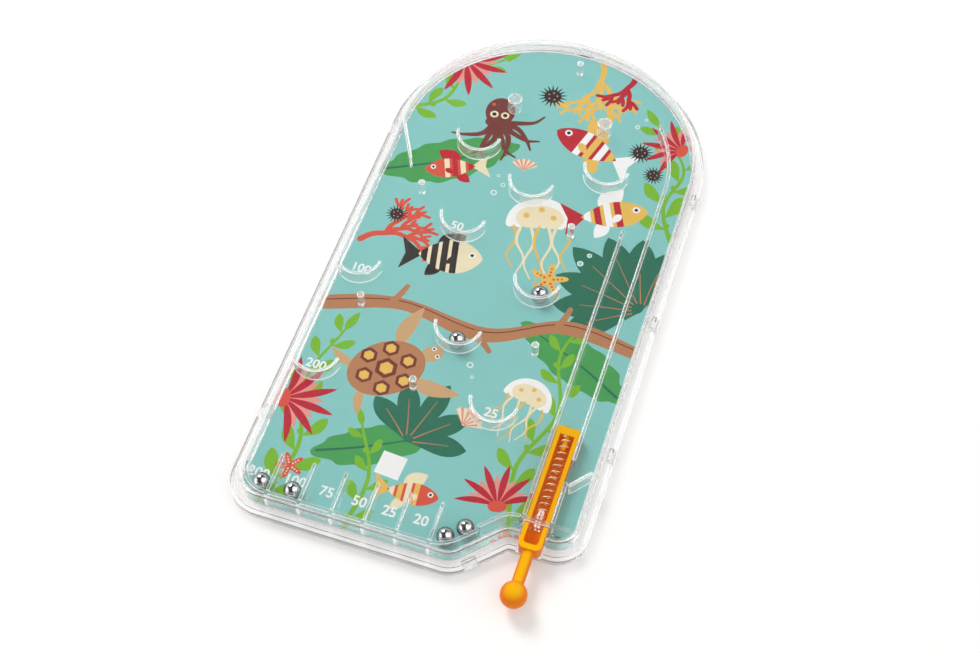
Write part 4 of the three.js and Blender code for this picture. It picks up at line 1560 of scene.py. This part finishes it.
@dataclass
class Artwork:
    """Sea garden printed on the card, drawn in flat shapes one over another."""

    patches: list[Patch] = field(default_factory=list)
    label_half: float = 5.9
    slot_score: float = 5.0
    cup_score: float = 4.8
    text_size: float = 1.38
    boldness: float = 0.028

    def add(self, outline: Plan, ink: Ink, within: int | None = None) -> int:
        """Prints a shape over the earlier ones and gives its number."""
        self.patches.append(Patch(np.asarray(outline, complex), ink, within))
        return len(self.patches) - 1

    def line(
        self,
        points: Sequence[complex],
        width: float,
        ink: Ink,
        tip: float | None = None,
        within: int | None = None,
    ) -> int:
        """Prints a smooth line, which may taper to another width.

        Args:
            points: Points that it goes through.
            width: Width at its start.
            ink: Its ink.
            tip: Width at its end, where that differs.
            within: Number of the patch that it must lie in, if any.

        Returns:
            The number of its patch.
        """
        path = curve(points)
        widths = np.linspace(width, width if tip is None else tip, len(path))
        return self.add(stroke(path, widths), ink, within)

    def eye(self, place: complex, radius: float, pupil: float, ink: Ink = Ink.WHITE) -> None:
        """Prints a round eye."""
        self.add(place + disc(radius), ink)
        self.add(place + disc(pupil), Ink.BLACK)

    def kelp(
        self, points: Sequence[complex], ink: Ink = Ink.LIME, size: float = 15.0, pitch: float = 8.5
    ) -> None:
        """Prints a strand of kelp: full blades in turn at both sides, with round floats, on a wavy stem.

        Args:
            points: Points along the stem.
            ink: Its ink.
            size: Length of the lowest blades.
            pitch: Distance from blade to blade.
        """
        path = curve(points, 12)
        self.add(stroke(path, np.linspace(2.4, 1.2, len(path))), ink)
        lengths = np.concatenate([[0], np.cumsum(np.abs(np.diff(path)))])
        for k, at in enumerate(np.arange(pitch * 0.5, lengths[-1], pitch)):
            i = min(int(np.searchsorted(lengths, at)), len(path) - 1)
            side = 1 if k % 2 else -1
            heading = math.degrees(np.angle(path[i] - path[max(i - 2, 0)])) + 58 * side
            reach = size * (1 - 0.35 * at / lengths[-1])
            self.add(turned(blade(reach, reach * 0.42, -0.22 * side, 1.5), path[i], heading), ink)
            if k % 3 == 1:
                self.add(turned(disc(1.5) + 2.6, path[i], heading - 75 * side), ink)
        heading = math.degrees(np.angle(path[-1] - path[-3]))
        self.add(turned(blade(size * 0.7, size * 0.26), path[-1], heading), ink)

    def fan(self, place: complex, angle: float, size: float, ink: Ink, vein: Ink, lobes: int = 7) -> None:
        """Prints a sea fan: broad lobes that spread from one foot, each with a vein.

        Args:
            place: Where it goes.
            angle: Its heading, in degrees.
            size: Its reach.
            ink: Ink of the lobes.
            vein: Ink of the veins.
            lobes: Number of lobes.
        """
        last, half = lobes - 1, 59
        leans = [(k - last / 2) * 2 * half / last for k in range(lobes)]
        reaches = [1 - 0.22 * abs(lean) / half for lean in leans]
        for lean, reach in zip(leans, reaches):
            lobe = blade(size * reach, size * 0.3, 0.12 * lean / half, 1.5, 16)
            self.add(turned(lobe, place, angle + lean), ink)
        for lean, reach in zip(leans, reaches):
            t = np.array([0.12, 0.4, 0.7]) * size * reach
            bent = t + 1j * (0.12 * lean / half) * t**2 / size
            self.line(turned(bent, place, angle + lean), 0.7, vein, 0.3)

    def lettuce(self, place: complex, angle: float, length: float, width: float) -> None:
        """Prints a broad wavy frond of sea lettuce with a pale rib.

        Args:
            place: Where it goes.
            angle: Its heading, in degrees.
            length: Its length.
            width: Its width.
        """
        leaf = blade(length, width, 0.12, 0.9, 40)
        ripple = 1 + 0.05 * np.sin(np.linspace(0, 22 * np.pi, len(leaf)))
        middle = leaf.mean()
        whole = self.add(turned(middle + (leaf - middle) * ripple, place, angle), Ink.LEAF)
        rib = np.array([0.05, 0.35, 0.65, 0.92]) * length
        self.line(turned(rib + 1j * 0.12 * rib**2 / length, place, angle), 1.4, Ink.DEEP, 0.5, whole)

    def coral(
        self, place: complex, angle: float, size: float, ink: Ink, depth: int = 3, width: float = 3.4
    ) -> None:
        """Prints a branch of coral that forks into round-tipped twigs.

        Args:
            place: Where it goes.
            angle: Its heading, in degrees.
            size: Length of its first branch.
            ink: Its ink.
            depth: How often it forks.
            width: Width at its foot.
        """
        tip = place + size * np.exp(1j * math.radians(angle))
        bend = place + size * 0.5 * np.exp(1j * math.radians(angle + 12))
        self.line([place, bend, tip], width, ink, width * 0.85)
        if depth == 0:
            return
        for lean, share in ((34, 0.78), (-30, 0.84), (2, 0.62)):
            self.coral(tip, angle + lean, size * share, ink, depth - 1, width * 0.82)

    def anemone(self, place: complex, angle: float, size: float, arms: int = 11) -> None:
        """Prints an anemone: a tuft of pink and red arms that curl outwards from a rounded foot.

        Args:
            place: Where it goes.
            angle: Its heading, in degrees.
            size: Its reach.
            arms: Number of arms.
        """
        order = sorted(range(arms), key=lambda k: k % 2, reverse=True)
        for k in order:
            share = (k - (arms - 1) / 2) / ((arms - 1) / 2)
            reach = size * (0.86 + 0.14 * math.cos(3.1 * k)) * (1 - 0.12 * abs(share))
            arm = blade(reach, size * 0.15, 0.3 * share, 1.25, 14)
            self.add(turned(arm, place, angle + 62 * share), Ink.PINK if k % 2 else Ink.RED)
        self.add(turned(disc(size * 0.13, size * 0.2), place, angle), Ink.CORAL)

    def fish(
        self,
        place: complex,
        angle: float,
        length: float,
        inks: Sequence[Ink],
        height: float = 0.46,
        flip: float = 1,
    ) -> None:
        """Prints a fish with upright bands.

        Args:
            place: Middle of the body.
            angle: Heading of the head, in degrees.
            length: Length of the body.
            inks: Body ink, then the inks of the bands in turn.
            height: Height of the body as a share of its length.
            flip: -1 to swim with its back below the heading.
        """
        def set_down(points: Plan) -> Plan:
            """Places a part of the fish."""
            points = np.asarray(points, complex)
            return turned(points.real + 1j * flip * points.imag, place, angle)

        tail = np.array([-0.42, -0.78 + 0.3j, -0.7, -0.78 - 0.3j]) * length
        self.add(set_down(tail), inks[1])
        self.add(set_down(turned(blade(0.5, 0.34, 0.1), -0.22 + 0.16j, 28) * length), inks[-1])
        self.add(set_down(turned(blade(0.34, 0.22, 0.1), -0.12 - 0.14j, -140) * length), inks[-1])
        body = blade(1.0, height, 0, 0.86, 24) * length - 0.5 * length
        whole = self.add(set_down(-body.real + 1j * body.imag), inks[0])
        for k, ink in enumerate(inks[1:] * 2):
            x = (0.2 - 0.155 * k) * length
            half = 0.05 * length
            band = oblong((x - half, x + half), (-0.4 * length, 0.4 * length))
            band = band - 0.9 * (band.imag / length) ** 2 * length
            self.add(set_down(band), ink, whole)
        self.add(set_down(turned(blade(0.2, 0.12, 0.1), 0.1 - 0.02j, -150) * length), inks[-1])
        self.eye(set_down((0.33 + 0.05j) * length), 0.055 * length, 0.028 * length)

    def jellyfish(self, place: complex, angle: float, size: float) -> None:
        """Prints a pale jellyfish with a scalloped bell and trailing arms.

        Args:
            place: Where it goes.
            angle: Its heading, in degrees.
            size: Its reach.
        """
        for k in range(7):
            x = (k - 3) * size * 0.13
            wave = size * 0.06 * (-1) ** k
            drop = size * (1.05 - 0.09 * abs(k - 3))
            bends = [x, x + wave - 0.35j * drop, x - wave - 0.7j * drop, x + wave * 0.6 - 1j * drop]
            ink = Ink.MUSTARD if k % 3 == 0 else Ink.CREAM
            self.line(turned(bends, place, angle), size * 0.05, ink, size * 0.02)
        scallops = [arc(-0.875 + 0.25 * k, 0.125, 180, 360, 5)[1:] for k in range(8)]
        dome = np.concatenate([arc(0, 1, 0, 180, 24), *scallops])
        bell = self.add(turned(dome * size * 0.5, place, angle), Ink.WHITE)
        self.add(turned(disc(size * 0.36, size * 0.24) + 0.12j * size, place, angle), Ink.CREAM, bell)
        for spot in (-0.2 + 0.16j, 0.02 + 0.28j, 0.2 + 0.14j):
            self.add(turned(size * spot, place, angle) + disc(size * 0.045), Ink.MUSTARD, bell)

    def starfish(
        self, place: complex, angle: float, size: float, ink: Ink = Ink.MUSTARD, dots: Ink = Ink.CORAL
    ) -> None:
        """Prints a starfish with a row of dots on each arm.

        Args:
            place: Where it goes.
            angle: Its heading, in degrees.
            size: Its reach.
            ink: Its ink.
            dots: Ink of the dots.
        """
        self.add(turned(petals(5, size * 0.34, size, 1.6, 14), place, angle), ink)
        for arm in range(5):
            for reach in (0.25, 0.45, 0.65):
                spot = turned(size * reach, place, angle + 72 * arm)
                self.add(spot + disc(size * (0.075 - 0.03 * reach), steps=12), dots)

    def urchin(self, place: complex, size: float) -> None:
        """Prints a dark sea urchin with fine spines.

        Args:
            place: Where it goes.
            size: Its reach.
        """
        self.add(turned(petals(17, size * 0.55, size, 3, 6), place), Ink.BLACK)
        for k in range(5):
            self.add(turned(size * 0.3, place, 72 * k + 20) + disc(size * 0.06, steps=10), Ink.PINK)

    def turtle(self, place: complex, angle: float, size: float) -> None:
        """Prints a swimming turtle with a patterned shell.

        Args:
            place: Where it goes.
            angle: Its heading, in degrees.
            size: Its reach.
        """
        limbs = ((0.25 + 0.24j, 62, 0.62), (-0.36 + 0.18j, 138, 0.36))
        for at, lean, reach in limbs:
            for side in (1, -1):
                root = complex(at.real, at.imag * side)
                limb = turned(blade(reach, reach * 0.36, -0.35 * side, 0.9), root, lean * side)
                self.add(turned(limb * size, place, angle), Ink.TAN)
        self.add(turned(disc(size * 0.15, size * 0.11) + 0.6 * size, place, angle), Ink.TAN)
        shell = self.add(turned(disc(size * 0.5, size * 0.38, 40), place, angle), Ink.BROWN)
        plates = [(0, 0.15), *((turned(0.29, 0, 60 * k), 0.115) for k in range(6))]
        for at, reach in plates:
            hexagon = disc(reach * size, reach * size, 6)
            self.add(turned(hexagon + at * size, place, angle), Ink.UMBER, shell)
            self.add(turned(hexagon * 0.62 + at * size, place, angle), Ink.MUSTARD, shell)
        for side in (1, -1):
            self.eye(turned(complex(0.65, 0.06 * side) * size, place, angle), size * 0.03, size * 0.016)

    def octopus(self, place: complex, angle: float, size: float) -> None:
        """Prints a dark octopus with curling arms.

        Args:
            place: Where it goes.
            angle: Its heading, in degrees.
            size: Its reach.
        """
        for k in range(8):
            lean = -158 + 136 * k / 7
            curl = 0.3 if k % 2 else -0.3
            arm = size * np.array([0.1, 0.42 + 0.05j, 0.72 + curl * 0.4j, 0.9 + curl * 1j])
            self.line(turned(arm, place, angle + lean + 22), size * 0.15, Ink.UMBER, size * 0.04)
        self.add(turned(disc(size * 0.3, size * 0.36) + 0.28j * size, place, angle), Ink.UMBER)
        self.add(turned(disc(size * 0.26, size * 0.16), place, angle), Ink.UMBER)
        for side in (1, -1):
            eye = turned(complex(0.11 * side, 0.2) * size, place, angle)
            self.eye(eye, size * 0.085, size * 0.045, Ink.CREAM)
            brow = turned(complex(0.16 * side, 0.45) * size, place, angle)
            self.add(brow + disc(size * 0.04), Ink.CORAL)

    def shell(self, place: complex, angle: float, size: float) -> None:
        """Prints a scallop shell with ribs.

        Args:
            place: Where it goes.
            angle: Its heading, in degrees.
            size: Its reach.
        """
        edge = np.append(0, turned(petals(14, 0.93, 1.0, 1, 6)[:29], 0, -62))
        whole = self.add(turned(edge * size, place, angle), Ink.CREAM)
        for k in range(6):
            rib = turned(np.array([0.1, 0.5, 0.95]) * size, 0, -50 + 22 * k)
            self.line(turned(rib, place, angle), 0.5, Ink.PINK, 1.3, whole)

    def driftwood(self, points: Sequence[complex], width: float) -> None:
        """Prints a drifting branch with short stubs and a darker grain.

        Args:
            points: Points along it.
            width: Its width.
        """
        path = curve(points, 10)
        widths = width * (1 + 0.12 * np.sin(np.linspace(0, 17, len(path))))
        whole = self.add(stroke(path, widths), Ink.BROWN)
        self.line([p + 0.22j * width for p in points], 0.6, Ink.UMBER, 0.6, whole)
        for share, lean in ((0.24, 58), (0.47, -52), (0.73, 64)):
            here = path[int(share * len(path))]
            tip = here + width * 1.6 * np.exp(1j * math.radians(lean + 12))
            self.line([here, (here + tip) / 2 + 0.3, tip], width * 0.5, Ink.BROWN, width * 0.34)

    def bubbles(self, places: Sequence[complex], first: int = 0) -> None:
        """Prints small pale rings, whose sizes go by their number.

        Args:
            places: Their centres.
            first: Number of the first one.
        """
        for k, place in enumerate(places, first):
            radius = 1.6 - 0.35 * (k % 3)
            self.add(place + disc(radius, steps=18), Ink.WHITE)
            self.add(place + disc(radius * 0.66, steps=18), Ink.SEA)

    def number(self, text: str, place: complex, height: float) -> None:
        """Prints a plain number, centred on a place.

        Args:
            text: The number.
            place: Its centre.
            height: Height of its digits.
        """
        data = bpy.data.curves.new("number", "FONT")
        data.body, data.size, data.align_x, data.align_y = text, height * self.text_size, "CENTER", "CENTER"
        data.offset, data.resolution_u = height * self.boldness, 5
        thing = Shape.place("number", data)
        graph = bpy.context.evaluated_depsgraph_get()
        mesh = bpy.data.meshes.new_from_object(thing.evaluated_get(graph))
        for face in mesh.polygons:
            self.add([place + complex(*mesh.vertices[i].co[:2]) for i in face.vertices], Ink.WHITE)
        bpy.data.objects.remove(thing)
        bpy.data.meshes.remove(mesh)

    def draw(self) -> None:
        """Draws the whole garden, from the back forwards."""
        self.lettuce(-78 + 44j, 24, 74, 26)
        self.lettuce(78 - 50j, 148, 66, 24)
        self.lettuce(-52 - 118j, 20, 62, 20)
        self.kelp([-66 - 150j, -58 - 118j, -68 - 84j, -60 - 52j], size=17)
        self.kelp([46 - 128j, 40 - 96j, 50 - 64j, 42 - 34j, 50 - 8j])
        self.kelp([78 + 40j, 66 + 66j, 70 + 92j, 50 + 116j], size=18)
        self.kelp([-80 + 86j, -62 + 98j, -56 + 118j, -40 + 134j], size=14)
        self.kelp([-24 - 150j, -22 - 122j, -34 - 98j], size=13)
        self.fan(72 + 2j, 148, 50, Ink.DEEP, Ink.BROWN)
        self.fan(-12 - 100j, 74, 36, Ink.DEEP, Ink.BROWN, 5)
        self.driftwood([-80 - 42j, -40 - 30j, 4 - 34j, 40 - 18j, 80 - 22j], 7.5)
        self.coral(-72 + 0j, 34, 13, Ink.CORAL)
        self.coral(60 - 150j, 112, 12, Ink.CORAL, 2)
        self.coral(10 + 150j, -78, 15, Ink.MUSTARD)
        self.coral(30 + 146j, -102, 11, Ink.RED, 2)
        self.anemone(-74 - 96j, 12, 26)
        self.anemone(38 - 118j, 108, 22)
        self.anemone(-60 + 128j, -52, 26)
        self.anemone(66 + 104j, 168, 22)
        self.turtle(-34 - 66j, 38, 38)
        self.octopus(-30 + 92j, 8, 26)
        self.jellyfish(10 + 36j, 14, 34)
        self.jellyfish(34 - 62j, -12, 24)
        self.fish(18 + 92j, 164, 36, [Ink.RED, Ink.WHITE, Ink.MUSTARD], flip=-1)
        self.fish(44 + 54j, 24, 34, [Ink.MUSTARD, Ink.RED, Ink.WHITE])
        self.fish(-26 + 4j, 12, 32, [Ink.CREAM, Ink.BLACK, Ink.BLACK], 0.62)
        self.fish(-44 + 56j, -158, 26, [Ink.CORAL, Ink.CREAM, Ink.RED], flip=-1)
        self.fish(0 - 124j, 6, 24, [Ink.CORAL, Ink.MUSTARD, Ink.CREAM])
        self.starfish(24 + 6j, 20, 10)
        self.starfish(-58 - 128j, 50, 7, Ink.CORAL, Ink.CREAM)
        self.shell(10 - 84j, 70, 10)
        self.shell(-8 + 66j, 100, 8)
        self.urchin(-8 + 118j, 8)
        self.urchin(46 + 96j, 7)
        self.urchin(56 + 84j, 6)
        self.urchin(-60 + 20j, 6)
        self.bubbles([-18 + 48j, -15 + 54j, -19 + 59j, 36 + 20j, 39 + 26j, 6 - 58j, 3 - 52j])
        self.bubbles([40 + 112j, 43 + 118j], 7)
        sides = (-self.label_half, self.label_half)
        self.add(turned(oblong(sides, sides), -14.3 - 113.6j, -4), Ink.WHITE)
        places = (-70 - 135.8j, -52.7 - 134.6j, -37.1 - 135.4j, -21.4 - 135.3j, -7 - 135.6j, 7.9 - 135.2j)
        for text, place in zip(("200", "100", "75", "50", "25", "20"), places):
            self.number(text, place, self.slot_score)
        places = (-28.9 + 22.4j, -65.4 - 16.5j, -66.2 - 74.5j, 20.5 - 73.6j)
        for text, place in zip(("50", "100", "200", "25"), places):
            self.number(text, place, self.cup_score)


@dataclass
class PlayfieldCard:
    """Printed card: one closed board whose top is divided into inked faces."""

    outline: CaseOutline
    low_z: float
    top_z: float
    seam: float = 0.03
    least_side: float = 1e-6
    merge_within: float = 1e-4

    def partition(self, patches: Sequence[Patch]) -> tuple[list, list, np.ndarray]:
        """Divides the top among the patches.

        Args:
            patches: Printed shapes, the first at the back.

        Returns:
            Corner points, faces, and the ink's number of each face.
        """
        edge = self.outline.ring(0)
        edge = edge[np.abs(edge - np.roll(edge, 1)) > self.least_side]
        points, lines = [], []
        for outline in (edge, *(p.outline for p in patches)):
            first, count = len(points), len(outline)
            points += [Vector((p.real, p.imag)) for p in outline]
            lines += [(first + k, first + (k + 1) % count) for k in range(count)]
        points, _, faces, _, _, _ = delaunay_2d_cdt(points, lines, [], 0, self.merge_within, False)
        places = np.array([complex(p.x, p.y) for p in points])
        middles = places[np.array(faces)].mean(axis=1)
        palette = list(Ink)
        inks = np.full(len(faces), palette.index(Ink.SEA))
        covered = []
        for patch in patches:
            inside = winds_round(patch.outline, middles)
            if patch.within is not None:
                inside &= covered[patch.within]
            covered.append(inside)
            inks[inside] = palette.index(patch.ink)
        kept = winds_round(edge, middles)
        return points, [f for f, k in zip(faces, kept) if k], inks[kept]

    def build(self) -> None:
        """Draws the artwork, makes the card and fits it."""
        art = Artwork()
        art.draw()
        points, faces, inks = self.partition(art.patches)
        palette = list(Ink)
        built = bmesh.new()
        corners = [built.verts.new((p.x * MM, p.y * MM, self.top_z * MM)) for p in points]
        for face, ink in zip(faces, inks):
            built.faces.new([corners[i] for i in face]).material_index = int(ink)
        bmesh.ops.delete(built, geom=[v for v in built.verts if not v.link_faces], context="VERTS")
        edge = [e for e in built.edges if e.is_boundary]
        board = len(palette)
        grown = bmesh.ops.extrude_edge_only(built, edges=edge)["geom"]
        for part in grown:
            if isinstance(part, bmesh.types.BMVert):
                part.co.z = (self.low_z + self.seam) * MM
            elif isinstance(part, bmesh.types.BMFace):
                part.material_index = board
        rim = [e for e in grown if isinstance(e, bmesh.types.BMEdge) and e.is_boundary]
        for face in bmesh.ops.triangle_fill(built, edges=rim, use_beauty=True)["geom"]:
            if isinstance(face, bmesh.types.BMFace):
                face.material_index = board
        bmesh.ops.recalc_face_normals(built, faces=built.faces)
        mesh = bpy.data.meshes.new("playfield_card")
        built.to_mesh(mesh)
        built.free()
        for finish in [*(ink.finish for ink in palette), BOARD]:
            mesh.materials.append(finish.material())
        install(Shape.place("playfield_card", mesh), CASE, ["printed_card"])


@dataclass
class Studio:
    """Pale floor, soft light and the camera."""

    eye: Place = (128.03, -412.69, 647.89)
    azimuth: float = 17.73
    elevation: float = 57.94
    roll: float = 0.56
    focal_px: float = 1583.3
    width_px: float = 980.0
    sensor_mm: float = 36.0
    floor_size: float = 6.0
    floor_drop: float = 0.05
    paper: Colour = linear(237, 235, 233)
    room_z: Level = (0.3, 0.6)
    room_light: Level = (1.4, 0.05)
    soft_light: float = 0.6
    dark_side: float = 0.12
    dark_edge: Level = (0.2, 0.75)
    seen_light: float = 0.14
    through_light: float = 0.18
    windows: tuple[tuple[Place, Level, float], ...] = (
        ((0.556, 0.1, 0.815), (0.78, 0.93), 2.1),
        ((-0.869, -0.434, 0.237), (0.83, 0.95), 2.4),
    )
    lamps: tuple[tuple[str, Place, Level, float], ...] = (
        ("key_softbox", (-0.85, 0.65, 1.1), (0.6, 0.6), 14.0),
        ("fill_softbox", (0.7, -0.6, 1.0), (0.8, 0.8), 2.0),
        ("strip_softbox", (1.2, 0.3, 0.7), (1.2, 0.3), 2.0),
    )

    def camera(self) -> None:
        """Sets the camera where the photograph was taken from."""
        a, e, r = (math.radians(x) for x in (self.azimuth, self.elevation, self.roll))
        back = Vector((math.sin(a) * math.cos(e), -math.cos(a) * math.cos(e), math.sin(e)))
        level = Vector((0, 0, 1)).cross(back).normalized()
        upright = back.cross(level)
        right = level * math.cos(r) + upright * math.sin(r)
        up = back.cross(right)
        data = bpy.data.cameras.new("camera")
        data.sensor_width = self.sensor_mm
        data.lens = self.focal_px / self.width_px * self.sensor_mm
        camera = bpy.data.objects.new("camera", data)
        turn = Matrix((right, up, back)).transposed().to_4x4()
        camera.matrix_world = Matrix.Translation(Vector(self.eye) * MM) @ turn
        bpy.context.scene.collection.objects.link(camera)
        bpy.context.scene.camera = camera

    def facing(self, graph: Graph, place: Socket, direction: Place, edge: Level, light: Level) -> Socket:
        """A value that goes from one light to another where the sky is close to a direction."""
        dot = graph.add("ShaderNodeVectorMath", {"operation": "DOT_PRODUCT"}, in0=place, in1=direction)
        return graph.mapped(dot.outputs["Value"], edge, light, smooth=True)

    def world(self) -> None:
        """White round the horizon, dimmer overhead, and an even soft light."""
        world = bpy.data.worlds.new("studio")
        world.use_nodes = True
        graph = Graph(world.node_tree)
        place = graph.add("ShaderNodeTexCoord").outputs["Generated"]
        room = graph.mapped(graph.upward(place), self.room_z, self.room_light)
        a = math.radians(self.azimuth)
        toward = (math.sin(a), -math.cos(a), 0)
        dark = self.facing(graph, place, toward, self.dark_edge, (1.0, self.dark_side))
        room = graph.math("MULTIPLY", room, dark)
        for direction, edge, strength in self.windows:
            room = graph.math("ADD", room, self.facing(graph, place, direction, edge, (0.0, strength)))
        path = graph.add("ShaderNodeLightPath").outputs
        mirrored = graph.math("MAXIMUM", path["Is Glossy Ray"], path["Is Transmission Ray"])
        shown = graph.between(mirrored, self.soft_light, room)
        strength = graph.between(path["Is Camera Ray"], shown, 1.0)
        light = graph.add("ShaderNodeBackground", Color=WHITE_LIGHT, Strength=strength).outputs[0]
        graph.add("ShaderNodeOutputWorld", Surface=light)
        bpy.context.scene.world = world

    def lamp(self, name: str, place: Sequence[float], size: Level, power: float) -> None:
        """Hangs a softbox that faces the game.

        Args:
            name: Its name.
            place: Where it hangs, in metres.
            size: Its two sides, in metres.
            power: Its power, in watts.
        """
        data = bpy.data.lights.new(name, "AREA")
        data.shape, data.energy = "RECTANGLE", power
        data.size, data.size_y = size
        lamp = bpy.data.objects.new(name, data)
        lamp.location = place
        lamp.rotation_euler = (-Vector(place)).to_track_quat("-Z", "Y").to_euler()
        lamp.visible_glossy = False
        bpy.context.scene.collection.objects.link(lamp)

    def floor(self) -> None:
        """Pale paper under the game, white to the camera where no shadow falls."""
        half, z = self.floor_size / 2, -self.floor_drop * MM
        mesh = bpy.data.meshes.new("floor")
        sheet = oblong((-half, half), (-half, half))
        mesh.from_pydata([(p.real, p.imag, z) for p in sheet], [], [[0, 1, 2, 3]])
        floor = Shape.place("floor", mesh)
        material = bpy.data.materials.new("studio_paper")
        material.use_nodes = True
        graph = Graph(material.node_tree)
        fibre = graph.bump(graph.noise(900), 0.05, 0.0005)
        paper = graph.add("ShaderNodeBsdfDiffuse", Color=self.paper, Normal=fibre).outputs[0]
        path = graph.add("ShaderNodeLightPath").outputs
        through = path["Is Transmission Ray"]
        direct = graph.math("MAXIMUM", path["Is Camera Ray"], path["Is Glossy Ray"])
        seen = graph.math("MAXIMUM", direct, through)
        level = graph.math("MULTIPLY", seen, self.seen_light)
        level = graph.math("ADD", level, graph.math("MULTIPLY", through, self.through_light))
        lift = graph.add("ShaderNodeEmission", Color=WHITE_LIGHT, Strength=level).outputs[0]
        both = graph.add("ShaderNodeAddShader", in0=paper, in1=lift).outputs[0]
        graph.add("ShaderNodeOutputMaterial", Surface=both)
        mesh.materials.append(material)

    def build(self) -> None:
        """Sets up the studio."""
        bpy.context.scene.view_settings.view_transform = "Standard"
        self.camera()
        self.world()
        self.floor()
        for lamp in self.lamps:
            self.lamp(*lamp)


def corners(box: tuple[Vector, Vector]) -> list[list[float]]:
    """A box as plain lists of numbers."""
    return [list(corner) for corner in box]


def main() -> None:
    """Builds the studio and every sub-assembly around the frame."""
    logging.basicConfig(level=logging.INFO, format="%(name)s: %(message)s")
    card, cover, tray = Box.of("printed_card"), Box.of("top_cover"), Box.of("base_tray")
    feature = Box.of("cup_1")
    outline = CaseOutline(card.high.x, card.high.y, HEEL_Y)
    Studio().build()
    Case(outline, card.high.z, cover.high.z, tray.high.z, Box.of("end_wall").low.y).build()
    Playfield(outline, feature.low.z, feature.high.z, Box.of("plunger").middle.x).build()
    PlayfieldCard(outline, card.low.z, card.high.z).build()
    Plunger(feature.low.z).build()
    ReturnSpring().build()
    SteelBalls().build()


if __name__ == "__main__":
    main()
